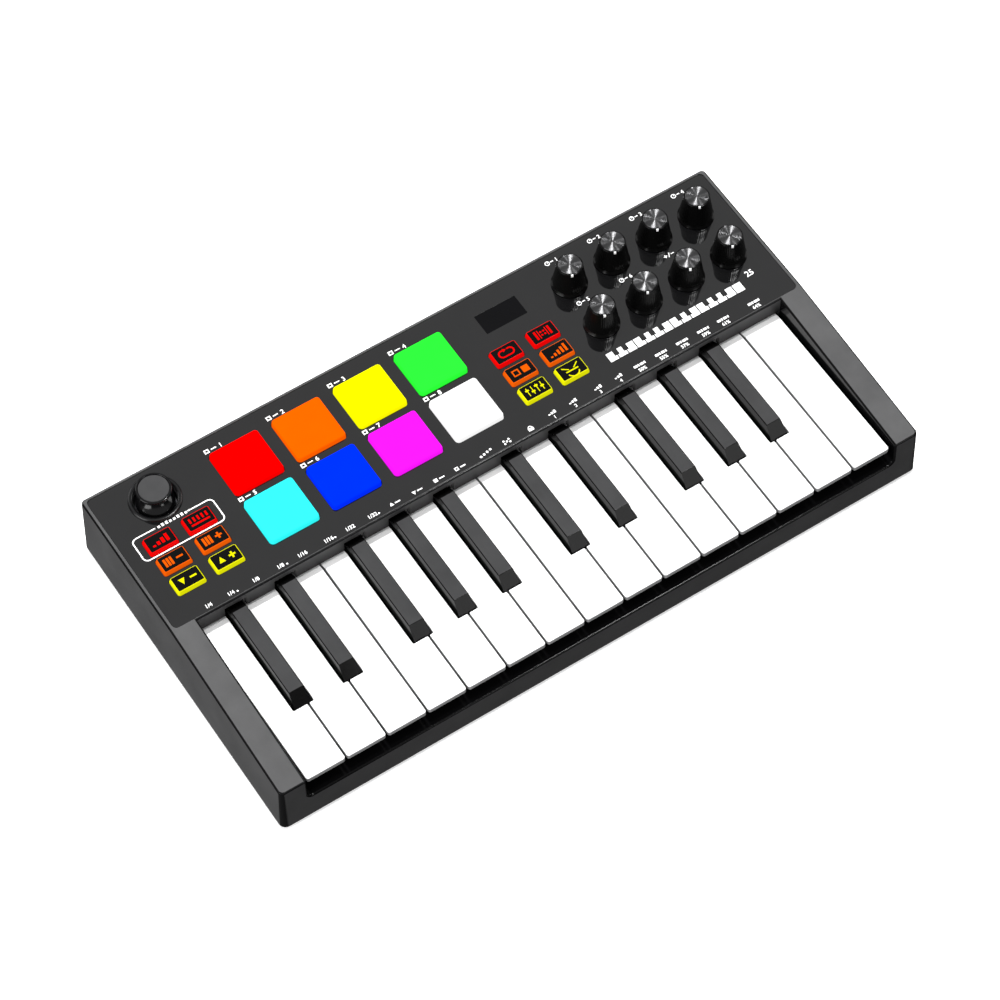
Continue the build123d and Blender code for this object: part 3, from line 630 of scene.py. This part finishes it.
PANEL_THICKNESS = 1.0
PANEL_Z = round(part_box("control_panel")[0][2] / MM, 2) + PANEL_THICKNESS
PANEL_SIZE = (319.6, 75.0, 2.4)             # width, depth, corner radius
PAD_SIZE = (24.6, 24.3, 1.8)
PAD_STEP = (31.22, 28.87)                   # from pad to pad along a row, and from row to row
BUTTON_SIZE = (13.8, 8.9, 1.0)
SCREEN_SIZE = (21.2, 10.9, 0.4)
MAT_X, MAT_Y = centre_of("pad_mat", 3)[:2]
PAD_PLACES = [(MAT_X + PAD_STEP[0] * (column - 1.5), MAT_Y - PAD_STEP[1] * (row - 0.5))
              for row in range(2) for column in range(4)]
BUTTON_PLACES = [centre_of(f"button_{number:02d}")[:2] for number in range(1, BUTTONS + 1)]
KNOB_PLACES = [centre_of(f"knob_{number}")[:2] for number in range(1, KNOBS + 1)]
STICK = centre_of("joystick_yoke")[:2]
STICK_PIVOT_Z = centre_of("joystick_yoke")[2]
WHITE_PITCH = round(centre_of("white_key_02")[0] - centre_of("white_key_01")[0], 2)
KNOB_OPENING, STICK_OPENING = 4.25, 9.55    # radii of the panel's round openings


# ---------------------------------------------------------------- panel: a sheet with an opening per control

def panel_sheet():
    """The overlay, cut from a flat curve so that each opening has its own bevelled edge."""
    curve = bpy.data.curves.new("panel", "CURVE")
    curve.dimensions = "2D"
    curve.fill_mode = "BOTH"
    edge = 0.06
    thickness = 0.9
    curve.extrude = (thickness / 2 - edge) * MM
    curve.bevel_depth = edge * MM
    curve.bevel_resolution = 2

    def add_loop(points):
        spline = curve.splines.new("POLY")
        spline.points.add(len(points) - 1)
        for point, (x, y) in zip(spline.points, points):
            point.co = (x * MM, y * MM, 0, 1)
        spline.use_cyclic_u = True

    def cut(place, size, clearance, corner_clearance):
        """A rounded opening, wider than what comes through it by the clearance on each side."""
        width, depth, radius = size
        opening = rounded_rect(width + 2 * clearance, depth + 2 * clearance, radius + corner_clearance, 5)
        add_loop([(place[0] + px, place[1] + py) for px, py in opening][::-1])

    def bore(place, radius, steps):
        add_loop(disc(*place, radius + edge, steps)[::-1])

    width, depth, radius = PANEL_SIZE
    sheet_y = centre_of("control_panel")[1]
    add_loop([(px, sheet_y + py) for px, py in rounded_rect(width - 2 * edge, depth - 2 * edge, radius, 8)])
    gap = 0.25 + edge
    for place in PAD_PLACES:
        cut(place, PAD_SIZE, gap, gap)
    for place in BUTTON_PLACES:
        cut(place, BUTTON_SIZE, gap, gap)
    cut(centre_of("display_module")[:2], SCREEN_SIZE, 0.05, 0.0)
    for place in KNOB_PLACES:
        bore(place, KNOB_OPENING, 48)
    bore(STICK, STICK_OPENING, 72)
    return curve_shape(curve, MM, (0, 0, PANEL_Z - thickness / 2))


make_piece("control_panel_sheet", *panel_sheet(), "panel", "case", "panel_plastic",
           ["control_panel"], sharp=25)

BEZEL_PROFILE = (
    [(9.6, PANEL_Z - 0.35), (11.88, PANEL_Z - 0.35), (11.88, PANEL_Z + 0.12)]
    + arc(10.75, PANEL_Z + 0.12, 1.08, 8, 172, 14)
    + [(9.6, PANEL_Z - 0.1)]
)
make_piece("joystick_bezel", *ring_lathe(*STICK, BEZEL_PROFILE), "bezel", "case", "stick_plastic")


# ---------------------------------------------------------------- pads

def pads():
    web_low, web_top, board_top = 31.3, 33.0, 27.55
    web = [block(MAT_X, MAT_Y, 123, 54, 2.0, [(web_low, 0), (web_top, 0)])]
    for x, y in PAD_PLACES:
        web.append(lathe(x, y, [(8.0, board_top), (8.0, web_low + 0.05)], 40))
    make_piece("pad_mat_web", *join_parts(web), "silicone", "case", "pad_silicone", ["pad_mat"])
    for number, ((x, y), colour_name) in enumerate(zip(PAD_PLACES, PAD_COLOURS), 1):
        profile = [(32.9, 0.0), (PANEL_Z - 0.4, 0.05), (PANEL_Z + 1.4, 0.22)]
        profile += rounding(PANEL_Z + 2.28, 0.6, 0.26, 6)
        profile.append((PANEL_Z + 2.3, 4.0))
        key = "pad_" + colour_name
        make_piece(f"pad_{number}", *block(x, y, *PAD_SIZE, profile), key, "case", key, sharp=50)


pads()


# ---------------------------------------------------------------- buttons: inset and symbol on each lit cap

def button_symbols():
    """A plain symbol for each button, drawn round its own middle, in millimetres."""
    rising = [rect(-4.2 + 2.2 * i, -2.0, -2.8 + 2.2 * i, -1.1 + 0.95 * i) for i in range(4)]
    pulse = [rect(-4.4 + 2.0 * i, -0.3, -3.5 + 2.0 * i, 2.1) for i in range(5)]
    pulse.append(rect(-4.4, -2.1, 4.5, -1.2))
    loop = [bent_bar(-1.9, 0, 1.75, 0.75, 60, 270), rect(-1.9, -2.125, 1.9, -1.375)]
    loop += [bent_bar(1.9, 0, 1.75, 0.75, -90, 120), triangle(-0.4, 1.62, 1.05, 0)]
    repeat = [rect(-3.9, -2.3, -2.9, 2.3), rect(-2.2, -2.3, -1.75, 2.3)]
    repeat += [disc(-0.75, 0.85, 0.5), disc(-0.75, -0.85, 0.5)]
    repeat += [rect(2.9, -2.3, 3.9, 2.3), rect(1.75, -2.3, 2.2, 2.3)]
    repeat += [disc(0.75, 0.85, 0.5), disc(0.75, -0.85, 0.5)]
    keys = [rect(-4.6 + 1.5 * i, -2.1, -3.5 + 1.5 * i, 2.1) for i in range(3)]
    minus = [rect(1.2, -0.45, 4.4, 0.45)]
    plus = minus + [rect(2.35, 0.45, 3.25, 1.6), rect(2.35, -1.6, 3.25, -0.45)]
    down = [[(-3.9, 1.4), (-2.4, -1.7), (-0.9, 1.4)]]
    up = [[(-3.9, -1.4), (-0.9, -1.4), (-2.4, 1.7)]]
    banks = outline(3.4, 3.4, 0.6, -2.4, 0) + [rect(0.7, -1.7, 4.1, 1.7)]
    level = [rect(-4.2 + 1.9 * i, -2.1, -3.1 + 1.9 * i, -1.3 + 0.85 * i) for i in range(5)]
    sliders = []
    for i, height in enumerate((0.9, -0.7, 1.3, -0.1)):
        x = -3.6 + 2.4 * i
        sliders += [rect(x - 0.2, -2.2, x + 0.2, height - 0.45),
                    rect(x - 0.85, height - 0.45, x + 0.85, height + 0.45),
                    rect(x - 0.2, height + 0.45, x + 0.2, 2.2)]
    drum = [bent_bar(0, -1.0, 2.9, 0.6, 200, 340), rect(-3.1, -0.9, 3.1, -0.25)]
    drum += [bar(-4.0, 2.2, -1.2, 0.2, 0.5), bar(4.0, 2.2, 1.2, 0.2, 0.5)]
    return [rising, pulse, loop, repeat, keys + minus, keys + plus, banks, level,
            down + minus, up + plus, sliders, drum]


def buttons():
    cap_top = PANEL_Z + 2.0
    for number, ((x, y), symbol) in enumerate(zip(BUTTON_PLACES, button_symbols()), 1):
        body = f"button_{number:02d}"
        colour_name = button_colour(number)
        profile = [(cap_top - 0.2, 0.0)] + rounding(cap_top + 0.09, 0.09, 0.0, 3)
        inset = block(x, y, 12.3, 7.4, 0.5, profile)
        make_piece(f"{body}_inset", *inset, "inset", body, "button_black", sharp=50)
        plates = slabs(shifted(symbol, x, y), cap_top + 0.07, cap_top + 0.12)
        make_piece(f"{body}_symbol", *join_parts(plates), "icon_" + colour_name, body,
                   "button_" + colour_name)


buttons()


# ---------------------------------------------------------------- knobs

RIBS = 48


def knob_profile():
    """(radius, height over the panel) of the grip, from its foot to the rim of the top."""
    profile = [(2.0, 0.5), (8.25, 0.5), (8.3, 0.56), (7.55, 1.6)]
    swell = [(7.46, 1.8), (7.58, 2.6), (7.5, 3.8), (7.3, 5.2), (7.02, 6.8), (6.72, 8.4), (6.45, 10.0),
             (6.22, 11.6), (6.05, 12.9), (5.98, 13.5)]
    top = [(5.95, 13.8), (5.86, 14.05), (5.68, 14.22), (5.5, 14.3), (5.34, 14.3), (5.34, 14.0), (2.0, 14.0)]
    return profile + swell + top


def ribbed(radius, z, angle):
    """The grip's radius with a fine rib round it every few degrees, fading at both ends."""
    height = z - PANEL_Z
    if not 1.7 < height < 13.7:
        return radius
    fade = min(1.0, (height - 1.7) / 0.6, (13.7 - height) / 0.8)
    return radius - 0.09 * max(0.0, fade) * (0.5 - 0.5 * math.cos(RIBS * angle)) ** 0.7


def knobs():
    pointer_turn = math.radians(-113)
    ox, oy = math.cos(pointer_turn), math.sin(pointer_turn)
    for number, (x, y) in enumerate(KNOB_PLACES, 1):
        body = f"knob_{number}"
        profile = [(r, PANEL_Z + z) for r, z in knob_profile()]
        grip = lathe(x, y, profile, RIBS * 5, ribbed)
        spindle = lathe(x, y, [(1.98, 28.7), (1.98, PANEL_Z + 9.8)], 40)
        make_piece(f"{body}_grip", *join_parts([grip, spindle]), "knob", body, "knob_plastic",
                   [body], sharp=40)
        top = PANEL_Z + 14.6
        face = [(5.3, PANEL_Z + 14.02), (5.3, top - 0.16), (5.16, top - 0.02), (4.98, top - 0.02),
                (4.9, top - 0.07)]
        make_piece(f"{body}_disc", *lathe(x, y, face, 96), "disc", body, "knob_aluminium", sharp=30)
        marks = []
        for radius, z in ((5.36, top - 0.3), (5.78, top - 0.32), (6.02, top - 0.62), (6.14, top - 1.5)):
            marks.append([
                (x + ox * (radius - sunk) - oy * side, y + oy * (radius - sunk) + ox * side, z - sunk)
                for side, sunk in ((-0.5, 0.3), (0.5, 0.3), (0.5, 0.0), (-0.5, 0.0))
            ])
        make_piece(f"{body}_pointer", *stack(marks), "print", body, "print_white", sharp=50)


knobs()


# ---------------------------------------------------------------- joystick

def joystick():
    x, y = STICK
    base = STICK_PIVOT_Z
    flare = [(7.7, 1.65), (8.6, 1.6), (8.62, 2.3), (8.35, 3.0), (7.6, 3.7), (6.6, 4.4), (5.6, 5.3),
             (4.8, 6.3), (4.3, 7.4), (4.1, 8.4), (4.2, 9.3), (4.6, 10.0), (5.4, 10.4), (6.6, 10.6)]
    rim = [(7.4, 10.9), (7.85, 11.35), (8.0, 11.9), (7.96, 12.35), (7.78, 12.7), (7.4, 12.9), (7.05, 12.86),
           (6.85, 12.62), (6.8, 12.3)]
    inside = [(0.3, 7.4), (2.5, 7.0), (4.0, 6.25), (5.4, 5.1), (6.5, 3.6), (7.0, 2.5), (7.3, 1.7)]
    profile = [(r, base + z) for r, z in inside + flare + rim]
    make_piece("joystick_grip", *lathe(x, y, profile, 96), "stick", "joystick_stick", "stick_plastic",
               ["joystick_stick"], sharp=40)
    face = [(6.72, base + 12.2), (6.72, base + 12.46), (6.6, base + 12.56), (5.6, base + 12.48),
            (3.0, base + 12.4), (0.4, base + 12.38)]
    make_piece("joystick_disc", *lathe(x, y, face, 96), "stick_disc", "joystick_stick",
               "stick_plastic", sharp=40)
    stem = lathe(x, y, [(1.8, base - 1.2), (1.8, base + 8.0)], 40)
    trunnion = stack([[(px, y + side, pz) for px, pz in disc(x, base, 0.8, 32)] for side in (-3.7, 3.7)])
    make_piece("joystick_core", *join_parts([stem, trunnion]), "stick", "joystick_stick",
               "stick_plastic", sharp=40)


joystick()


# ---------------------------------------------------------------- print on the panel

INK = (PANEL_Z - 0.02, PANEL_Z + 0.025)


def ink(*polygons):
    return slabs(polygons, *INK)


def dash(x, y, width, height=0.5):
    """A bar centred on a point."""
    return rect(x - width / 2, y - height / 2, x + width / 2, y + height / 2)


def pad_print():
    """A small square, like the pad itself, and the pad's numeral."""
    parts = []
    for number, (x, y) in enumerate(PAD_PLACES, 1):
        left, middle = x - 12.5, y + 14.65
        parts += ink(*outline(2.3, 2.1, 0.55, left + 1.15, middle), dash(left + 4.6, middle, 2.6, 0.55))
        parts.append(digits(str(number), left + 8.0, middle - 1.15, 2.3, *INK))
    return join_parts(parts)


# Counted from 0 in each octave: the white keys that have a black key on their left
BLACKS = (1, 2, 4, 5, 6)


def label_places():
    """Where a label stands behind each key: in the middle of what shows of it at the back."""
    after_white = [i for i in range(1, WHITE_KEYS) if i % 7 in BLACKS]
    black_at = {i: centre_of(f"black_key_{number:02d}")[0] for number, i in enumerate(after_white, 1)}
    places = []
    for white in range(WHITE_KEYS):
        left = black_at[white] + 4.2 if white in black_at else (white - 7.5) * WHITE_PITCH
        right = black_at[white + 1] - 4.2 if white + 1 in black_at else (white - 6.5) * WHITE_PITCH
        places.append((left + right) / 2)
        if white + 1 in black_at:
            places.append(black_at[white + 1])
    return places


def key_print():
    """A small mark behind each key: note lengths, directions, dots, steps and percentages."""
    labels = ["1/4", "1/4.", "1/8", "1/8.", "1/16", "1/16.", "1/32", "1/32.", "up", "down", "full",
              "open", "dots", "dice", "lock", "steps 1", "steps 2", "steps 3", "steps 4", "beat 50%",
              "beat 55%", "beat 57%", "beat 59%", "beat 61%", "beat 64%"]
    parts = []
    for label, x in zip(labels, label_places()):
        y = 8.0
        if label in ("up", "down"):
            parts += ink(triangle(x - 1.4, y, 1.15, 90 if label == "up" else -90), dash(x + 1.5, y, 2.6, 0.6))
        elif label == "full":
            parts += ink(dash(x - 1.6, y, 1.8, 1.8), dash(x + 1.5, y, 2.6, 0.6))
        elif label == "open":
            parts += ink(*outline(1.8, 1.8, 0.45, x - 1.6, y), dash(x + 1.5, y, 2.6, 0.6))
        elif label == "dots":
            parts += ink(*(disc(x - 2.7 + 1.8 * i, y - 0.6 + 0.4 * i, 0.58) for i in range(4)))
        elif label == "dice":
            parts += ink(*(disc(x + dx, y + dy, 0.5) for dx in (-1.3, 1.3) for dy in (-0.75, 0.75)),
                         disc(x, y, 0.5))
        elif label == "lock":
            parts += ink(dash(x, y - 0.4, 2.6, 1.5), bent_bar(x, y + 0.35, 0.85, 0.42, 0, 180))
        elif " " in label:
            kind, number = label.split()
            parts.append(digits(number, x, y - 1.55, 1.75, *INK))
            if kind == "steps":
                parts += ink(*(rect(x - 1.95 + 1.4 * i, y + 1.05, x - 0.95 + 1.4 * i, y + 1.65 + 0.5 * i)
                               for i in range(3)))
            else:
                parts += ink(*(dash(x + offset, y + 1.7, width, 1.2)
                               for offset, width in ((-2.1, 1.7), (-0.55, 0.75), (1.1, 1.7), (2.65, 0.75))))
        else:
            parts.append(digits(label.rstrip("."), x, y - 0.95, 1.9, *INK))
            if label.endswith("."):
                parts += ink(disc(x + 3.0, y - 0.6, 0.42))
    return join_parts(parts)


def group_print():
    """The rounded line round the two red buttons on the left, open where a small row of steps stands."""
    left, right, low, high, radius, line = -153.4, -113.8, 40.6, 53.0, 2.2, 0.62
    half = line / 2
    shapes = [
        rect(left + radius, low - half, right - radius, low + half),
        rect(left - half, low + radius, left + half, high - radius),
        rect(right - half, low + radius, right + half, high - radius),
        rect(left + radius, high - half, -141.6, high + half),
        rect(-125.6, high - half, right - radius, high + half),
        bent_bar(left + radius, low + radius, radius, line, 180, 270),
        bent_bar(right - radius, low + radius, radius, line, 270, 360),
        bent_bar(right - radius, high - radius, radius, line, 0, 90),
        bent_bar(left + radius, high - radius, radius, line, 90, 180),
    ]
    for i in range(8):
        x = -140.4 + 1.9 * i
        top = 0.35 + 0.6 * (1 - abs(i % 4 - 1.5) / 1.5)
        shapes.append(rect(x, high - 0.75, x + 1.15, high + top))
    return join_parts(slabs(shapes, *INK))


def knob_print():
    """A small dial and a numeral behind each knob."""
    parts = []
    for number, (x, y) in enumerate(KNOB_PLACES[:7], 1):
        middle = y + 14.2
        if number == 7:
            parts += ink(dash(x - 1.5, middle, 1.8, 0.45),
                         rect(x - 1.72, middle + 0.22, x - 1.28, middle + 0.9),
                         rect(x - 1.72, middle - 0.9, x - 1.28, middle - 0.22),
                         bar(x - 0.2, middle - 1.1, x + 0.9, middle + 1.1, 0.42),
                         dash(x + 2.1, middle, 1.7, 0.45))
            continue
        parts += ink(bent_bar(x - 2.4, middle, 1.0, 0.42, 45, 225),
                     bent_bar(x - 2.4, middle, 1.0, 0.42, 225, 405),
                     bar(x - 2.4, middle, x - 1.75, middle + 0.65, 0.42), dash(x, middle, 1.5, 0.5))
        parts.append(digits(str(number), x + 2.3, middle - 1.0, 2.0, *INK))
    return join_parts(parts)


def keyboard_print():
    """A plain picture of fifteen piano keys where the photo has lettering."""
    start, low, pitch, height, gap, cut, cut_width = 68.4, 17.4, 4.8, 4.8, 0.55, 2.9, 2.5
    parts = []
    for i in range(WHITE_KEYS):
        left, right, top = start + i * pitch, start + (i + 1) * pitch - gap, low + height
        shape = [(left, low), (right, low)]
        if i < WHITE_KEYS - 1 and (i + 1) % 7 in BLACKS:
            side = start + (i + 1) * pitch - (gap + cut_width) / 2
            shape += [(right, top - cut), (side, top - cut), (side, top)]
        else:
            shape.append((right, top))
        if i > 0 and i % 7 in BLACKS:
            side = start + i * pitch + (cut_width - gap) / 2
            shape += [(side, top), (side, top - cut), (left, top - cut)]
        else:
            shape.append((left, top))
        parts += ink(shape)
    parts.append(digits("25", 146.2, 22.3, 3.0, *INK))
    return join_parts(parts)


for print_name, made in (("pads", pad_print()), ("keys", key_print()), ("button_group", group_print()),
                         ("knobs", knob_print()), ("keyboard", keyboard_print())):
    make_piece("print_" + print_name, *made, "print", "case", "print_white", sharp=50)


# ---------------------------------------------------------------- sockets in the rear wall

def sockets():
    wall = 82.1
    back_of_jack, jack_bottom, carrier_y = 56.0, 60.0, 80.0
    jack_x, jack_z = centre_of("rear_sockets")[0] - 14, 14.6
    usb_x, usb_z = centre_of("rear_sockets")[0] + 14, 13.0

    def along_y(profile, x, z, segments=64):
        return stack([
            [(x + r * math.cos(2 * math.pi * i / segments), y, z + r * math.sin(2 * math.pi * i / segments))
             for i in range(segments)]
            for r, y in profile
        ], closed=True)

    nut = along_y([(3.22, wall - 22.0), (4.38, wall - 22.0), (4.38, wall - 0.25), (4.15, wall), (3.5, wall),
                   (3.22, wall - 0.3)], jack_x, jack_z)
    housing = []
    half, hole = 6.98, 4.4
    for x0, x1, z0, z1, y0, y1 in ((-half, half, -half, half, back_of_jack, jack_bottom),
                                   (-half, half, hole, half, jack_bottom, carrier_y),
                                   (-half, half, -half, -hole, jack_bottom, carrier_y),
                                   (-half, -hole, -hole + 0.01, hole - 0.01, jack_bottom, carrier_y),
                                   (hole, half, -hole + 0.01, hole - 0.01, jack_bottom, carrier_y)):
        housing.append(stack([
            [(jack_x + px, y, jack_z + pz) for px, pz in rect(x0, z0, x1, z1)] for y in (y0, y1)
        ]))
    housing.append(block((jack_x + usb_x) / 2, 74.5, usb_x - jack_x + 17.6, 9.0, 0.3, [(5.05, 0), (7.5, 0)]))
    housing.append(block(usb_x, 76.0, 8.2, 6.0, 0.3, [(7.4, 0), (11.4, 0)]))
    make_piece("socket_carrier", *join_parts(housing), "socket", "case", "socket_plastic", ["rear_sockets"])
    make_piece("jack_sleeve", *nut, "nickel", "case", "socket_metal", sharp=40)

    outer = rounded_rect(8.9, 3.16, 1.5, 8)
    inner = rounded_rect(8.34, 2.56, 1.22, 8)
    loops = []
    for outline_points, y in ((outer, wall - 9.0), (outer, wall - 0.08), (inner, wall), (inner, wall - 6.6)):
        loops.append([(usb_x + px, y, usb_z + pz) for px, pz in outline_points])
    make_piece("usb_shell", *stack(loops), "nickel", "case", "socket_metal", sharp=40)
    tongue = stack([[(usb_x + px, y, usb_z + pz) for px, pz in rounded_rect(6.6, 0.7, 0.2, 3)]
                    for y in (wall - 6.7, wall - 1.4)])
    make_piece("usb_tongue", *tongue, "socket", "case", "socket_plastic")
    contacts = []
    for i in range(12):
        x = usb_x - 2.75 + 0.5 * i
        strip = rect(x - 0.12, usb_z + 0.3, x + 0.12, usb_z + 0.37)
        contacts.append(stack([[(px, y, pz) for px, pz in strip] for y in (wall - 6.5, wall - 1.9)]))
    make_piece("usb_contacts", *join_parts(contacts), "nickel", "case", "socket_metal")


sockets()


# ---------------------------------------------------------------- floor, light and camera

SKY_LOW, SKY_HIGH = 0.14, 0.88
LAMP_DISTANCE = 1.5
# Small lamps that only show as highlights: name, azimuth from +X, elevation, width, height, power
GLINTS = (
    ("top", 57, 80, 0.2, 0.2, 50),
    ("right", 24, 51, 0.12, 0.12, 4),
    ("back", 90, 51, 0.12, 0.12, 4),
    ("rim_left", 113, 17, 0.7, 0.5, 4),
    ("rim_right", 0, 17, 0.7, 0.5, 5),
    ("edge_front", -44, 64, 0.25, 0.16, 24),
    ("stem_right", 290, 19, 0.5, 0.4, 5),
)
# These light the knobs' discs only, and leave no glare on the panel
DISC_GLINTS = ("top", "right", "back")
# The photograph's viewing angle
CAMERA_LENS = 136.776
CAMERA_MATRIX = (
    (0.838098, 0.464337, -0.286327, -0.47567),
    (-0.545512, 0.710492, -0.444543, -0.73671),
    (-0.002985, 0.528765, 0.848763, 1.41389),
    (0, 0, 0, 1),
)


def studio():
    scene = bpy.context.scene
    bpy.ops.mesh.primitive_plane_add(size=30, location=(0, 0, 0))
    floor = bpy.context.object
    floor.name = "floor"
    mat, tree, shader = nodes_of("floor", (0.8, 0.8, 0.8), 0.9, specular=0.0)
    shader.inputs["Emission Color"].default_value = (1, 1, 1, 1)
    shader.inputs["Emission Strength"].default_value = 0.45
    floor.data.materials.append(mat)
    floor.visible_diffuse = False
    floor.visible_glossy = False

    world = bpy.data.worlds.new("studio")
    scene.world = world
    world.use_nodes = True
    tree = world.node_tree
    where = tree.nodes.new("ShaderNodeTexCoord")
    split = tree.nodes.new("ShaderNodeSeparateXYZ")
    tree.links.new(where.outputs["Generated"], split.inputs["Vector"])
    sky = tree.nodes.new("ShaderNodeValToRGB")
    ramp = sky.color_ramp
    ramp.interpolation = "EASE"
    ramp.elements[0].position = 0.30
    ramp.elements[0].color = (SKY_LOW, SKY_LOW, SKY_LOW, 1)
    ramp.elements[1].position = 0.62
    ramp.elements[1].color = (SKY_HIGH, SKY_HIGH, SKY_HIGH, 1)
    tree.links.new(split.outputs["Z"], sky.inputs["Fac"])
    tree.links.new(sky.outputs["Color"], tree.nodes["Background"].inputs["Color"])
    tree.nodes["Background"].inputs["Strength"].default_value = 1.0

    def aim(light, place, target):
        light.location = place
        direction = Vector(target) - Vector(place)
        light.rotation_euler = direction.to_track_quat("-Z", "Y").to_euler()

    def softbox(name, place, width, height, power):
        data = bpy.data.lights.new(name, "AREA")
        data.shape = "RECTANGLE"
        data.size, data.size_y = width, height
        data.energy = power
        light = bpy.data.objects.new(name, data)
        scene.collection.objects.link(light)
        aim(light, place, (0, 0, 0.02))

    def seen_by(name, diffuse=True, glossy=True):
        light = bpy.data.objects[name]
        light.visible_diffuse, light.visible_glossy = diffuse, glossy

    for name, energy, place in (("key", 2.6, (0, 0.62, 1.9)), ("overhead", 1.2, (0, 0.02, 1.9))):
        data = bpy.data.lights.new(name, "SUN")
        data.energy = energy
        data.angle = math.radians(4)
        sun = bpy.data.objects.new(name, data)
        scene.collection.objects.link(sun)
        aim(sun, place, (0, 0, 0))
        seen_by(name, glossy=False)

    softbox("left", (-1.3, -0.1, 0.45), 0.9, 0.5, 13)
    discs = bpy.data.collections.new("turned_discs")
    for number in range(1, KNOBS + 1):
        discs.objects.link(bpy.data.objects[f"knob_{number}_disc"])
    for name, azimuth, elevation, width, height, power in GLINTS:
        turn, lift = math.radians(azimuth), math.radians(elevation)
        towards = (math.cos(turn) * math.cos(lift), math.sin(turn) * math.cos(lift), math.sin(lift))
        softbox(name, [LAMP_DISTANCE * part for part in towards], width, height, power)
        seen_by(name, diffuse=False)
        if name in DISC_GLINTS:
            bpy.data.objects[name].light_linking.receiver_collection = discs

    data = bpy.data.cameras.new("camera")
    data.sensor_width = 36
    data.lens = CAMERA_LENS
    data.clip_end = 50
    camera = bpy.data.objects.new("camera", data)
    scene.collection.objects.link(camera)
    camera.matrix_world = Matrix(CAMERA_MATRIX)
    scene.camera = camera
    scene.view_settings.view_transform = "Standard"


studio()
